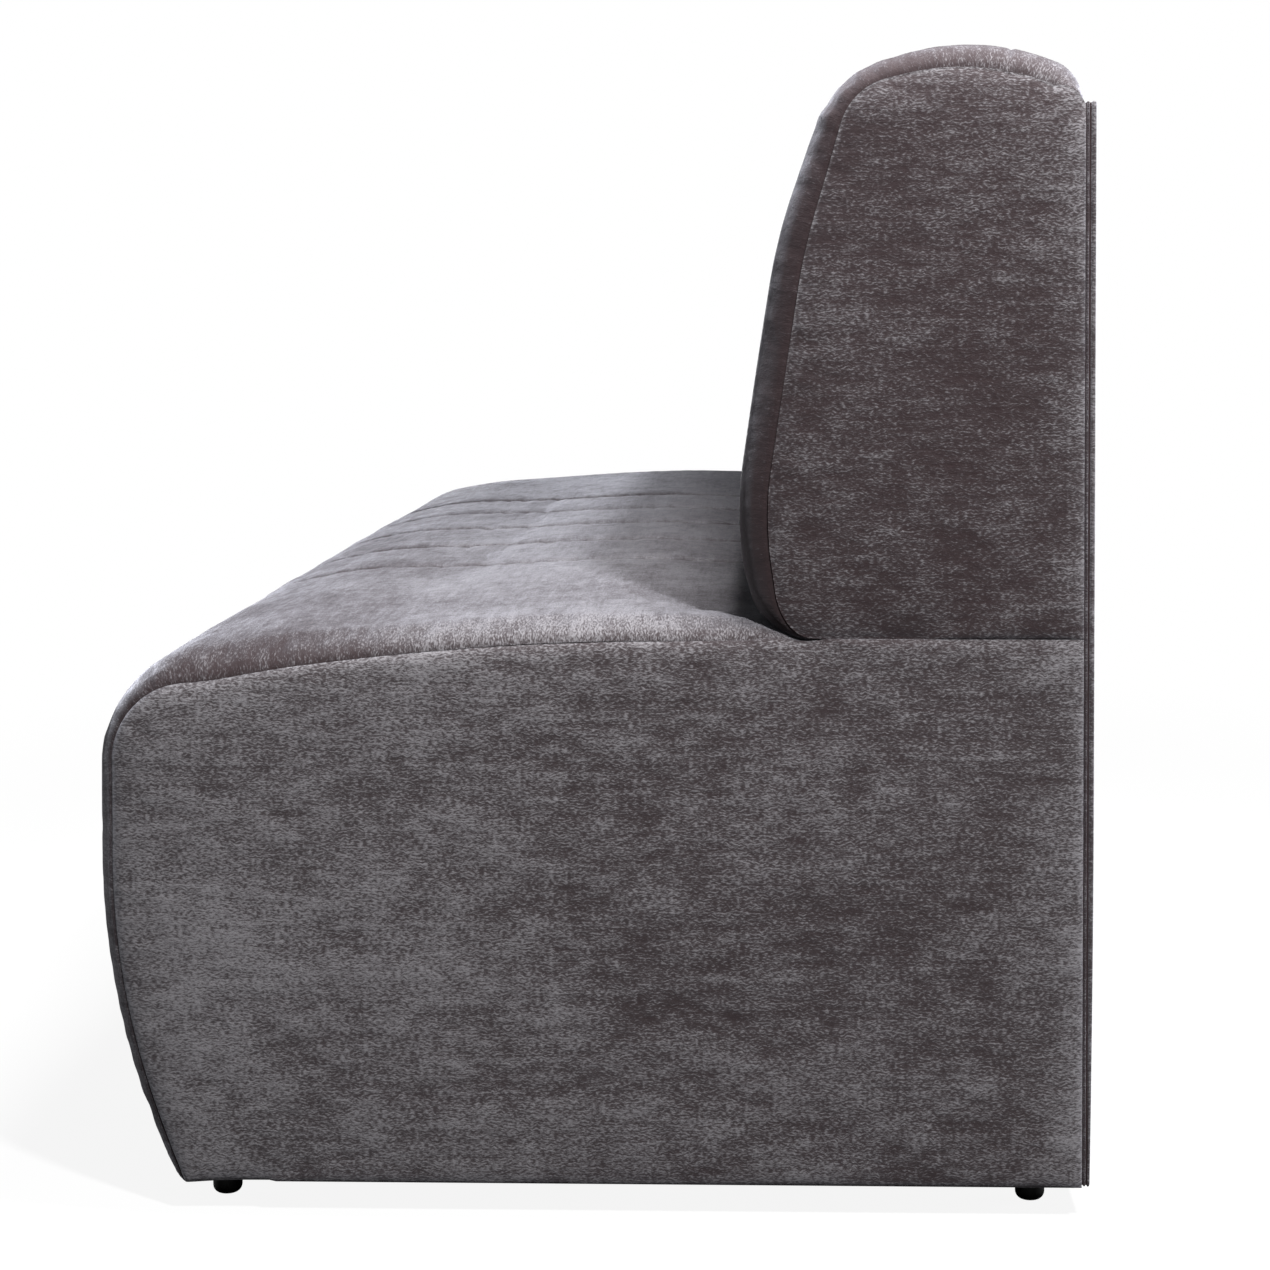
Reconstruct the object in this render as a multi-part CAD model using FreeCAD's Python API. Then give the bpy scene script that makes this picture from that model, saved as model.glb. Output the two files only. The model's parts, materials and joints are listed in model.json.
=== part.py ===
import FreeCAD
import Part

import math
import os

from FreeCAD import Vector

# An upholstered dining bench. X runs along the bench, -Y is the front, +Z is up, in millimetres.
# The origin is on the floor, in the middle of the outer box.

# Overall size
LENGTH = 1800.0
DEPTH = 730.0
HEIGHT = 860.0
SEAT_HEIGHT = 439.0
FOOT_HEIGHT = 25.0

# Side outline of the base
SEAT_FALL = 35.0            # the seat drops this much towards the front
CROWN_SETBACK = 298.0       # from the front to where the seat levels out
CROWN_RADIUS = 1700.0
SHOULDER_RADIUS = 78.0
BELLY_HEIGHT = 151.0
BELLY_RADIUS = 560.0
TOE_SETBACK = 54.0
TOE_RADIUS = 16.0
HEEL_RADIUS = 10.0

# Side outline of the back
BACK_THICKNESS = 259.0
BACK_FOOT_TUCK = 14.0       # the lower front corner lies this far behind the lumbar bulge
BACK_FOOT_RADIUS = 48.0
LUMBAR_RISE = 78.0          # from the seat to the foremost point of the back
LUMBAR_RADIUS = 250.0
BEND_SHARE = 0.625          # where the front bends back, from the lumbar bulge up to the brow
BEND_BULGE = 14.375         # the bend stands this far before a straight line between them
BEND_RADIUS = 400.0
BROW_SETBACK = 71.0
BROW_DROP = 20.0
BROW_RADIUS = 60.0
RIDGE_FROM_REAR = 80.0
RIDGE_RADIUS = 170.0
NAPE_DROP = 20.0
NAPE_RADIUS = 30.0

# Upholstery
EDGE_DRAW = 16.0            # the covers are drawn in this much at the end seams
EDGE_ROLL = 28.0            # and reach their full section this far from them
SEAM_COUNT = 5
SEAM_PITCH = 205.0
SEAM_DRAW = 6.0
SEAM_ROLL = 24.0
EDGE_STEPS = 3              # flats in the round of an edge
SEAM_STEPS = 2
END_CROWN = 6.0
END_RIM = 3.0               # an end cover is this thick at its edge
END_SLOPE = 22.0            # and reaches its full thickness this far in
SEAT_QUILT = 8.0
BACK_QUILT = 6.0
END_SEAM_FABRIC = 4.0       # the covers thin down to this at the end seams
HEM = 4.0
HEM_WIDTH = 72.0
END_FOAM = 12.0
FRONT_FOAM = 12.0
BACK_FRONT_FOAM = 55.0
BACK_TOP_FOAM = 28.0
FELT = 4.0
DUST_COVER = 1.0
DUST_MARGIN = 16.0
CLEARANCE = 0.3

# Rear panel
REAR_PANEL = 8.0
REAR_BOARD = 5.0
REAR_WRAP = 2.5
REAR_TOP_DROP = 43.0
REAR_END_INSET = 4.0
REAR_EDGE_RADIUS = 6.0

# Timber frame
PLY = 18.0
FRONT_PANEL = 4.0
BOTTOM_RAIL_HEIGHT = 28.0
FRONT_BOTTOM_RAIL = 64.0
REAR_BOTTOM_RAIL = 60.0
SEAT_RAIL = 28.0
SEAT_RAIL_HEIGHT = 60.0
RAIL_DROP = 99.0           # the seat rails end this far below the seat
DECK_DEPTH = 114.0          # level part behind the seat, which carries the back
RIB_SPAN = 300.0            # each inner rib stands this far from the middle
RIB_DIP = 50.0
RIB_WEB = 75.0
HOLE_CORNER = 25.0
POST = 45.0
TOP_RAIL_DROP = 65.0
TOP_BOARD = 6.0
BLOCK = 70.0

# Webbing
BELT = 2.0
BELT_WIDTH = 60.0
CROSS_BELT_PITCH = 120.0
LONG_BELT_COUNT = 3
WEAVE = 2.2
BELT_END = 4.0
BACK_BELT_PITCH = 84.0

# Feet and fasteners
FOOT_RADIUS = 11.0
FOOT_SOLE_RADIUS = 6.0
FOOT_EDGE = 6.0
FOOT_EDGE_BULGE = 1.2
FOOT_FROM_END = 60.0
FRONT_FOOT_FROM_FRONT = 85.0
REAR_FOOT_FROM_REAR = 41.0
BOLT_RADIUS = 4.0
BOLT_HEX = 7.5              # from the middle of a bolt head to a corner
BOLT_HEAD = 5.5
BOLT_HOLE_PLAY = 0.2
BASE_BOLT_HEIGHT = 240.0
BACK_BOLT_RISE = 100.0

# Places worked out from the sizes above
HALF = LENGTH / 2
FRONT = -DEPTH / 2
REAR = DEPTH / 2 - REAR_PANEL
BASE = FOOT_HEIGHT + DUST_COVER
JOIN = SEAT_HEIGHT - EDGE_DRAW
FRAME_BOTTOM = BASE + HEM
BOTTOM_RAIL_TOP = FRAME_BOTTOM + BOTTOM_RAIL_HEIGHT
STEP_TOP = JOIN + HEM
STEP = REAR - DECK_DEPTH
END_SEAM = HALF - END_CROWN
PANEL_OUT = END_SEAM - END_FOAM
PANEL_IN = PANEL_OUT - PLY
LUMBAR = DEPTH / 2 - BACK_THICKNESS
LUMBAR_HEIGHT = SEAT_HEIGHT + LUMBAR_RISE
BROW_HEIGHT = HEIGHT - BROW_DROP
BEND = LUMBAR + BEND_SHARE * BROW_SETBACK - BEND_BULGE
BEND_HEIGHT = LUMBAR_HEIGHT + BEND_SHARE * (BROW_HEIGHT - LUMBAR_HEIGHT)
RAIL_TOP = SEAT_HEIGHT - RAIL_DROP
BELT_TOP = RAIL_TOP + BELT
FELT_BOTTOM = BELT_TOP + WEAVE + CLEARANCE
FELT_TOP = FELT_BOTTOM + FELT
FRAME_INSET = SEAT_QUILT + FRONT_FOAM + FRONT_PANEL
BACK_FRAME_INSET = BACK_QUILT + BACK_FRONT_FOAM + BELT
BACK_TOP_INSET = BACK_QUILT + BACK_TOP_FOAM
FAR = 2 * (LENGTH + DEPTH + HEIGHT)
LEAST_RADIUS = 0.5
RIDGE_TRIES = 20            # rounds in which the ridge of the back finds its height
FILLET_SHARE = 0.98         # fillets may take up this share of an edge between them


def box(x, y, z):
    """A box from three (low, high) pairs."""
    return Part.makeBox(x[1] - x[0], y[1] - y[0], z[1] - z[0], Vector(x[0], y[0], z[0]))


def mirrored(shape):
    """The same piece at the other end of the bench."""
    return shape.mirror(Vector(0, 0, 0), Vector(1, 0, 0))


class Outline:
    """A convex side outline: corners (y, z, radius, side), where side names the edge that follows."""

    def __init__(self, corners):
        self.corners = corners

    def around(self, i):
        """The corner i with the ones before and after it."""
        n = len(self.corners)
        return self.corners[i - 1], self.corners[i], self.corners[(i + 1) % n]

    def inset(self, **by_side):
        """Each named side moved inwards by its own distance, with the fillets kept concentric."""
        lines = []
        for i in range(len(self.corners)):
            _, (y, z, _, side), (next_y, next_z, _, _) = self.around(i)
            length = math.hypot(next_y - y, next_z - z)
            along = ((next_y - y) / length, (next_z - z) / length)
            move = by_side.get(side, 0.0)
            lines.append((y - along[1] * move, z + along[0] * move, along, move))
        moved = []
        for i, (_, _, radius, side) in enumerate(self.corners):
            y0, z0, a, move0 = lines[i - 1]
            y1, z1, b, move1 = lines[i]
            cross = a[0] * b[1] - a[1] * b[0]
            t = ((y1 - y0) * b[1] - (z1 - z0) * b[0]) / cross
            kept = max(LEAST_RADIUS, radius - (move0 + move1) / 2) if radius else 0.0
            moved.append((y0 + a[0] * t, z0 + a[1] * t, kept, side))
        return Outline(moved)

    def reaches(self):
        """How far each fillet reaches along its edges, shortened where an edge has no room for it."""
        halves, lengths = [], []
        for i in range(len(self.corners)):
            before, corner, after = self.around(i)
            into = math.atan2(corner[1] - before[1], corner[0] - before[0])
            out = math.atan2(after[1] - corner[1], after[0] - corner[0])
            halves.append(((out - into) % (2 * math.pi)) / 2)
            lengths.append(math.hypot(after[0] - corner[0], after[1] - corner[1]))
        wanted = [c[2] * math.tan(h) for c, h in zip(self.corners, halves)]
        n = len(wanted)
        both = [max(LEAST_RADIUS, wanted[i] + wanted[(i + 1) % n]) for i in range(n)]
        share = [min(1.0, FILLET_SHARE * lengths[i] / both[i]) for i in range(n)]
        return [wanted[i] * min(share[i - 1], share[i]) for i in range(n)], halves

    def wire(self, x):
        """The outline as lines and arcs in the plane at x."""
        reaches, halves = self.reaches()
        arcs = []
        for i, (reach, half) in enumerate(zip(reaches, halves)):
            before, corner, after = self.around(i)
            point = Vector(x, corner[0], corner[1])
            back = (Vector(x, before[0], before[1]) - point).normalize()
            ahead = (Vector(x, after[0], after[1]) - point).normalize()
            middle = reach / math.tan(half) * (1 / math.cos(half) - 1)
            inwards = (back + ahead).normalize()
            arcs.append((point + back * reach, point + inwards * middle, point + ahead * reach))
        edges = []
        for i, (start, middle, end) in enumerate(arcs):
            edges.append(Part.LineSegment(arcs[i - 1][2], start).toShape())
            if self.corners[i][2]:
                edges.append(Part.Arc(start, middle, end).toShape())
        return Part.Wire(edges)

    def prism(self, x0, x1):
        """The solid of this outline between two planes."""
        return Part.Face(self.wire(x0)).extrude(Vector(x1 - x0, 0, 0))

    def top(self):
        """The height of its highest point."""
        return self.wire(0.0).BoundBox.ZMax


def eight_sided_hole(y, z):
    """A hole along X from two (low, high) pairs, with its corners cut off."""
    c = HOLE_CORNER
    around = [(y[0] + c, z[0]), (y[1] - c, z[0]), (y[1], z[0] + c), (y[1], z[1] - c),
              (y[1] - c, z[1]), (y[0] + c, z[1]), (y[0], z[1] - c), (y[0], z[0] + c)]
    return Outline([(a, b, 0.0, "") for a, b in around]).prism(*ACROSS)


def base_outline():
    """The base at its full section: bellied front, rolled shoulder and a seat that rises to the rear."""
    return Outline([
        (FRONT + TOE_SETBACK, BASE, TOE_RADIUS, "under"),
        (REAR, BASE, HEEL_RADIUS, "rear"),
        (REAR, SEAT_HEIGHT, 0.0, "top"),
        (FRONT + CROWN_SETBACK, SEAT_HEIGHT, CROWN_RADIUS, "top"),
        (FRONT, SEAT_HEIGHT - SEAT_FALL, SHOULDER_RADIUS, "front"),
        (FRONT, BELLY_HEIGHT, BELLY_RADIUS, "front"),
    ])


def back_outline():
    """The back at its full section, with its ridge set so that its top is the overall height."""
    ridge = HEIGHT
    for _ in range(RIDGE_TRIES):
        outline = Outline([
            (LUMBAR + BACK_FOOT_TUCK, JOIN, BACK_FOOT_RADIUS, "under"),
            (REAR, JOIN, 0.0, "rear"),
            (REAR, HEIGHT - NAPE_DROP, NAPE_RADIUS, "top"),
            (REAR - RIDGE_FROM_REAR, ridge, RIDGE_RADIUS, "top"),
            (LUMBAR + BROW_SETBACK, BROW_HEIGHT, BROW_RADIUS, "front"),
            (BEND, BEND_HEIGHT, BEND_RADIUS, "front"),
            (LUMBAR, LUMBAR_HEIGHT, LUMBAR_RADIUS, "front"),
        ])
        ridge += HEIGHT - outline.top()
    return outline


def rolled(outline, x_end, x_full, draw, steps):
    """A quarter round from the drawn-in outline at x_end out to the full outline at x_full."""
    wires = []
    for step in range(steps + 1):
        angle = math.pi / 2 * step / steps
        inwards = draw * (1 - math.sin(angle))
        x = x_end + (x_full - x_end) * (1 - math.cos(angle))
        wires.append(outline.inset(front=inwards, top=inwards).wire(x))
    return Part.makeLoft(wires, True, True)


def padded(outline, end_draw, seams, seam_draw):
    """The outline along the bench, drawn in at both ends and at each cross seam."""
    stops = [(-END_SEAM, end_draw, EDGE_ROLL, EDGE_STEPS)]
    stops += [(x, seam_draw, SEAM_ROLL, SEAM_STEPS) for x in seams]
    stops += [(END_SEAM, end_draw, EDGE_ROLL, EDGE_STEPS)]
    pieces = []
    for (x0, draw0, roll0, steps0), (x1, draw1, roll1, steps1) in zip(stops, stops[1:]):
        pieces.append(rolled(outline, x0, x0 + roll0, draw0, steps0))
        pieces.append(outline.prism(x0 + roll0, x1 - roll1))
        pieces.append(rolled(outline, x1, x1 - roll1, draw1, steps1))
    return pieces[0].multiFuse(pieces[1:])


def pillow(outline):
    """An end cover: it starts at the end seam and swells to the end of the bench."""
    wires = []
    for out, rim in ((0.0, 0.0), (END_RIM, 0.0), (END_CROWN, END_SLOPE)):
        drawn = outline.inset(front=EDGE_DRAW + rim, top=EDGE_DRAW + rim, under=rim, rear=rim)
        wires.append(drawn.wire(END_SEAM + out))
    return Part.makeLoft(wires, True, True)


def one_solid(shape):
    """The largest solid of a shape, by itself."""
    return max(shape.Solids, key=lambda solid: solid.Volume)


def both_ends(name, shape):
    """The right-hand piece and its mirror image, as two named nodes."""
    return {name + "_left": mirrored(shape), name + "_right": shape}


BASE_LINE = base_outline()
BACK_LINE = back_outline()
BASE_CORE_LINE = BASE_LINE.inset(front=SEAT_QUILT, top=SEAT_QUILT, under=HEM)
BACK_CORE_LINE = BACK_LINE.inset(front=BACK_QUILT, top=BACK_QUILT, under=HEM)
FOAM_BACK_LINE = BASE_LINE.inset(front=SEAT_QUILT + FRONT_FOAM, top=SEAT_QUILT, under=HEM)
FRAME_LINE = BASE_LINE.inset(front=FRAME_INSET, top=EDGE_DRAW - HEM, under=HEM)
BELT_LINE = BACK_LINE.inset(front=BACK_FRAME_INSET - BELT, top=BACK_TOP_INSET, under=HEM)
BOARD_LINE = BACK_LINE.inset(front=BACK_FRAME_INSET, top=BACK_TOP_INSET, under=HEM)
RIB_LINE = BACK_LINE.inset(front=BACK_FRAME_INSET, top=BACK_TOP_INSET + TOP_BOARD, under=HEM)

SEAMS = [(i - (SEAM_COUNT - 1) / 2) * SEAM_PITCH for i in range(SEAM_COUNT)]
BASE_FULL = padded(BASE_LINE, EDGE_DRAW, SEAMS, SEAM_DRAW)
BASE_CORE = padded(BASE_CORE_LINE, EDGE_DRAW + END_SEAM_FABRIC - SEAT_QUILT, [], 0.0)
BACK_FULL = padded(BACK_LINE, EDGE_DRAW, [], 0.0)
BACK_CORE = padded(BACK_CORE_LINE, EDGE_DRAW + END_SEAM_FABRIC - BACK_QUILT, [], 0.0)
ACROSS = (-FAR, FAR)
INSIDE = (-PANEL_IN, PANEL_IN)
COVERED = (-PANEL_OUT, PANEL_OUT)


def bolt_places():
    """The (y, z) of each bolt at an end: one into the base and one into the back."""
    y = REAR - POST / 2
    return [(y, BASE_BOLT_HEIGHT), (y, STEP_TOP + BACK_BOLT_RISE)]


def bolt_holes():
    """Clearance holes for the bolts, through the post and the ply at the right-hand end."""
    radius = BOLT_RADIUS + BOLT_HOLE_PLAY
    holes = []
    for y, z in bolt_places():
        holes.append(Part.makeCylinder(radius, POST + PLY, Vector(PANEL_IN - POST, y, z), Vector(1, 0, 0)))
    return Part.makeCompound(holes)


def bolts():
    """Coach bolts at both ends: a hexagon head on the post and a shank into the ply."""
    made = []
    for y, z in bolt_places():
        head = PANEL_IN - POST
        turns = [math.radians(60 * side) for side in range(7)]
        points = [Vector(head, y + BOLT_HEX * math.cos(t), z + BOLT_HEX * math.sin(t)) for t in turns]
        hexagon = Part.Face(Part.makePolygon(points)).extrude(Vector(-BOLT_HEAD, 0, 0))
        shank = Part.makeCylinder(BOLT_RADIUS, POST + PLY, Vector(head, y, z), Vector(1, 0, 0))
        bolt = hexagon.fuse(shank)
        made += [bolt, mirrored(bolt)]
    return Part.makeCompound(made)


def rails():
    """The long rails of the base and the back, shaped to the front where they meet it."""
    low = (FRAME_BOTTOM, BOTTOM_RAIL_TOP)
    seat = (RAIL_TOP - SEAT_RAIL_HEIGHT, RAIL_TOP)
    toe = BASE_CORE_LINE.corners[0][0]
    brow = HEIGHT - TOP_RAIL_DROP
    core = BASE_CORE_LINE.prism(*INSIDE)
    frame = FRAME_LINE.prism(*INSIDE)
    back = RIB_LINE.prism(*INSIDE)
    lumbar = back.BoundBox.YMin
    return {
        "front_bottom_rail": core.common(box(INSIDE, (-FAR, toe + FRONT_BOTTOM_RAIL), low)),
        "rear_bottom_rail": box(INSIDE, (REAR - REAR_BOTTOM_RAIL, REAR), low),
        "front_seat_rail": frame.common(box(INSIDE, (-FAR, FRONT + FRAME_INSET + SEAT_RAIL), seat)),
        "rear_seat_rail": box(INSIDE, (STEP - SEAT_RAIL, STEP), seat),
        "back_bottom_rail": back.common(
            box(INSIDE, (-FAR, lumbar + SEAT_RAIL), (STEP_TOP, STEP_TOP + SEAT_RAIL_HEIGHT))),
        "back_top_rail": back.common(
            box(INSIDE, (REAR - SEAT_RAIL, REAR), (brow - SEAT_RAIL_HEIGHT, brow))),
    }


def base_panel(x0, x1):
    """An upright ply panel of the base, stepped up at the rear to carry the back."""
    return FRAME_LINE.prism(x0, x1).cut(box(ACROSS, (-FAR, STEP), (RAIL_TOP, FAR)))


def base_rib(x, cuts):
    """An inner panel, dipped under the webbing, notched for the rails and holed."""
    dip = (FRONT + FRAME_INSET + SEAT_RAIL, STEP - SEAT_RAIL)
    hole = eight_sided_hole((dip[0] + RIB_WEB, dip[1] - RIB_WEB),
                            (BOTTOM_RAIL_TOP + RIB_WEB / 2, RAIL_TOP - RIB_DIP - RIB_WEB / 2))
    rib = base_panel(x - PLY / 2, x + PLY / 2)
    return rib.cut([box(ACROSS, dip, (RAIL_TOP - RIB_DIP, FAR)), hole] + cuts)


def back_rib(x0, x1, cuts):
    """An upright ply rib of the back, with a hole through its middle."""
    rib = RIB_LINE.prism(x0, x1)
    hole = eight_sided_hole((LUMBAR + BACK_FRAME_INSET + RIB_WEB / 2, REAR - POST),
                            (STEP_TOP + RIB_WEB, HEIGHT - TOP_RAIL_DROP - RIB_WEB))
    return rib.cut([hole] + cuts)


def corner_blocks(front_edge, rear_edge):
    """Four three-cornered blocks between the end panels and the bottom rails."""
    made = []
    for side in (-1, 1):
        for edge, towards in ((front_edge, 1), (rear_edge, -1)):
            corner = Vector(side * PANEL_IN, edge, FRAME_BOTTOM)
            along = corner + Vector(-side * BLOCK, 0, 0)
            across = corner + Vector(0, towards * BLOCK, 0)
            face = Part.Face(Part.makePolygon([corner, along, across, corner]))
            made.append(face.extrude(Vector(0, 0, BOTTOM_RAIL_HEIGHT)))
    return Part.makeCompound(made)


def cross_belt_places():
    """The middles of the belts that run from front to rear."""
    count = int((2 * PANEL_IN - BELT_WIDTH) // CROSS_BELT_PITCH) + 1
    return [(i - (count - 1) / 2) * CROSS_BELT_PITCH for i in range(count)]


def cross_belts():
    """Flat belts stretched from the front seat rail to the rear one."""
    y = (FRONT + FRAME_INSET + BELT_END, STEP - BELT_END)
    return Part.makeCompound(
        [box((x - BELT_WIDTH / 2, x + BELT_WIDTH / 2), y, (RAIL_TOP, BELT_TOP))
         for x in cross_belt_places()])


def long_belts():
    """Belts along the bench, woven over and under the cross belts, fixed on the end panels."""
    made = []
    room = (FRONT + FRAME_INSET + SEAT_RAIL, STEP - SEAT_RAIL)
    pitch = (room[1] - room[0]) / (LONG_BELT_COUNT + 1)
    for row in range(LONG_BELT_COUNT):
        line = [(-PANEL_OUT + BELT_END, RAIL_TOP), (-PANEL_IN, RAIL_TOP)]
        for i, x in enumerate(cross_belt_places()):
            z = RAIL_TOP + (WEAVE if (i + row) % 2 else -WEAVE)
            reach = BELT_WIDTH / 2 + BELT
            line += [(x - reach, z), (x + reach, z)]
        line += [(PANEL_IN, RAIL_TOP), (PANEL_OUT - BELT_END, RAIL_TOP)]
        y = room[0] + pitch * (row + 1) - BELT_WIDTH / 2
        under = [Vector(x, y, z) for x, z in line]
        over = [point + Vector(0, 0, BELT) for point in reversed(under)]
        face = Part.Face(Part.makePolygon(under + over + under[:1]))
        made.append(face.extrude(Vector(0, BELT_WIDTH, 0)))
    return Part.makeCompound(made)


def back_belts():
    """Belts along the back, lying on the front edges of its ribs."""
    layer = BELT_LINE.prism(*COVERED).cut(BOARD_LINE.prism(*ACROSS))
    first = STEP_TOP + SEAT_RAIL_HEIGHT
    room = BEND_HEIGHT - first - BELT_WIDTH
    made = []
    for i in range(int(room // BACK_BELT_PITCH) + 1):
        low = first + i * BACK_BELT_PITCH
        made.append(one_solid(layer.common(box(ACROSS, ACROSS, (low, low + BELT_WIDTH)))))
    return Part.makeCompound(made)


def seat_cover():
    """The quilted cover: over the seat, down the front and under the toe, ending below the back."""
    hem_end = BASE_LINE.corners[0][0] + HEM_WIDTH
    behind_back = LUMBAR + BACK_FOOT_TUCK + BACK_FOOT_RADIUS
    cover = BASE_FULL.cut([
        BASE_CORE,
        BACK_FULL,
        box(ACROSS, (behind_back, FAR), (BASE + HEM_WIDTH, FAR)),
        box(ACROSS, (hem_end, FAR), (-FAR, BASE + HEM_WIDTH)),
    ])
    return one_solid(cover)


def back_cover():
    """The cover of the back: bottom hem, front, and over the top to the rear."""
    cover = BACK_FULL.cut([BACK_CORE, box(ACROSS, (STEP, FAR), (-FAR, STEP_TOP + HEM))])
    return one_solid(cover)


def foams():
    """Foam blocks that fill the space between the covers and the frame."""
    ring = BASE_CORE.cut(FOAM_BACK_LINE.prism(*ACROSS))
    front = ring.common(box(COVERED, (-FAR, 0.0), (BOTTOM_RAIL_TOP, FELT_TOP)))
    seat = BASE_CORE.cut(BACK_FULL).common(box(COVERED, (-FAR, STEP), (FELT_TOP, FAR)))
    back = BACK_CORE.cut(BELT_LINE.prism(*ACROSS)).common(box(COVERED, ACROSS, (STEP_TOP, FAR)))
    made = {"front_foam": one_solid(front), "seat_foam": one_solid(seat), "back_foam": one_solid(back)}
    edge = EDGE_DRAW + END_SEAM_FABRIC + CLEARANCE
    for name, outline in (("end_foam", BASE_LINE), ("back_end_foam", BACK_LINE)):
        sheet = outline.inset(front=edge, top=edge, under=HEM)
        made.update(both_ends(name, sheet.prism(PANEL_OUT, END_SEAM)))
    return made


def rear_panel():
    """The thin board that closes the rear, and its cover wrapped round the edges."""
    x = HALF - REAR_END_INSET
    z = (BASE, HEIGHT - REAR_TOP_DROP)
    shell = box((-x, x), (REAR, REAR + REAR_PANEL), z)
    outer = [edge for edge in shell.Edges if edge.BoundBox.YMin > REAR + REAR_PANEL / 2]
    shell = shell.makeFillet(REAR_EDGE_RADIUS, outer)
    board = box((-x + REAR_WRAP, x - REAR_WRAP), (REAR, REAR + REAR_BOARD),
                (z[0] + REAR_WRAP, z[1] - REAR_WRAP))
    return {"rear_board": board, "rear_cover": shell.cut(board)}


def dust_cover():
    """The cloth under the base."""
    toe = BASE_LINE.corners[0][0]
    return box((-END_SEAM + DUST_MARGIN, END_SEAM - DUST_MARGIN),
               (toe + DUST_MARGIN, REAR - DUST_MARGIN), (FOOT_HEIGHT, BASE))


def foot(x, y):
    """A round foot with its lower edge turned in two steps."""
    waist = (FOOT_RADIUS + FOOT_SOLE_RADIUS) / 2 + FOOT_EDGE_BULGE
    profile = [(0.0, 0.0), (FOOT_SOLE_RADIUS, 0.0), (waist, FOOT_EDGE / 2 - FOOT_EDGE_BULGE),
               (FOOT_RADIUS, FOOT_EDGE), (FOOT_RADIUS, FOOT_HEIGHT), (0.0, FOOT_HEIGHT), (0.0, 0.0)]
    face = Part.Face(Part.makePolygon([Vector(x + out, y, up) for out, up in profile]))
    return face.revolve(Vector(x, y, 0), Vector(0, 0, 1), 360)


def feet():
    """Six feet, nailed up into the rails: a front and a rear one at each end and in the middle."""
    rows = {"front": FRONT + FRONT_FOOT_FROM_FRONT, "rear": DEPTH / 2 - REAR_FOOT_FROM_REAR}
    columns = [-(HALF - FOOT_FROM_END), 0.0, HALF - FOOT_FROM_END]
    return {row + "_feet": Part.makeCompound([foot(x, y) for x in columns]) for row, y in rows.items()}


def frame():
    """The timber frame of the base and the back."""
    made = rails()
    notches = list(made.values())
    holes = bolt_holes()
    inner = (RIB_SPAN - PLY / 2, RIB_SPAN + PLY / 2)
    made.update(both_ends("end_panel", base_panel(PANEL_IN, PANEL_OUT).cut(holes)))
    made.update(both_ends("base_rib", base_rib(RIB_SPAN, notches)))
    made.update(both_ends("back_end_rib", back_rib(PANEL_IN, PANEL_OUT, [holes])))
    made.update(both_ends("back_inner_rib", back_rib(*inner, notches)))
    upright = (BOTTOM_RAIL_TOP, HEIGHT - TOP_RAIL_DROP - SEAT_RAIL_HEIGHT)
    end_post = box((PANEL_IN - POST, PANEL_IN), (REAR - POST, REAR), upright)
    made.update(both_ends("back_end_post", end_post.cut(holes)))
    inner_post = box((inner[1], inner[1] + POST), (REAR - POST, REAR), upright)
    made.update(both_ends("back_inner_post", inner_post))
    layer = BOARD_LINE.prism(*COVERED).cut(RIB_LINE.prism(*ACROSS))
    made["back_top_board"] = one_solid(layer)
    panel = FOAM_BACK_LINE.prism(*COVERED).cut(FRAME_LINE.prism(*ACROSS))
    made["front_panel"] = one_solid(panel.common(box(ACROSS, ACROSS, (BOTTOM_RAIL_TOP, RAIL_TOP))))
    front_edge = made["front_bottom_rail"].BoundBox.YMax
    made["corner_blocks"] = corner_blocks(front_edge, REAR - REAR_BOTTOM_RAIL)
    return made


def bench():
    """Every node of the bench by name."""
    nodes = frame()
    nodes.update(foams())
    nodes.update(rear_panel())
    nodes.update(feet())
    nodes["seat_cross_belts"] = cross_belts()
    nodes["seat_long_belts"] = long_belts()
    felt = FOAM_BACK_LINE.prism(*COVERED).common(box(ACROSS, (-FAR, STEP), (FELT_BOTTOM, FELT_TOP)))
    nodes["seat_felt"] = felt
    nodes["seat_cover"] = seat_cover()
    nodes.update(both_ends("end_cover", pillow(BASE_LINE)))
    nodes["back_belts"] = back_belts()
    nodes["back_cover"] = back_cover()
    nodes.update(both_ends("back_end_cover", pillow(BACK_LINE)))
    nodes["dust_cover"] = dust_cover()
    nodes["back_bolts"] = bolts()
    return nodes


def main():
    os.makedirs("parts", exist_ok=True)
    for name, shape in bench().items():
        shape.exportStep("parts/" + name + ".step")


main()
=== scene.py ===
import json
import logging
import math
from dataclasses import dataclass, field
from enum import Enum
from typing import Callable, ClassVar, Sequence

import bpy
import numpy as np
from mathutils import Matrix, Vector, noise


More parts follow.
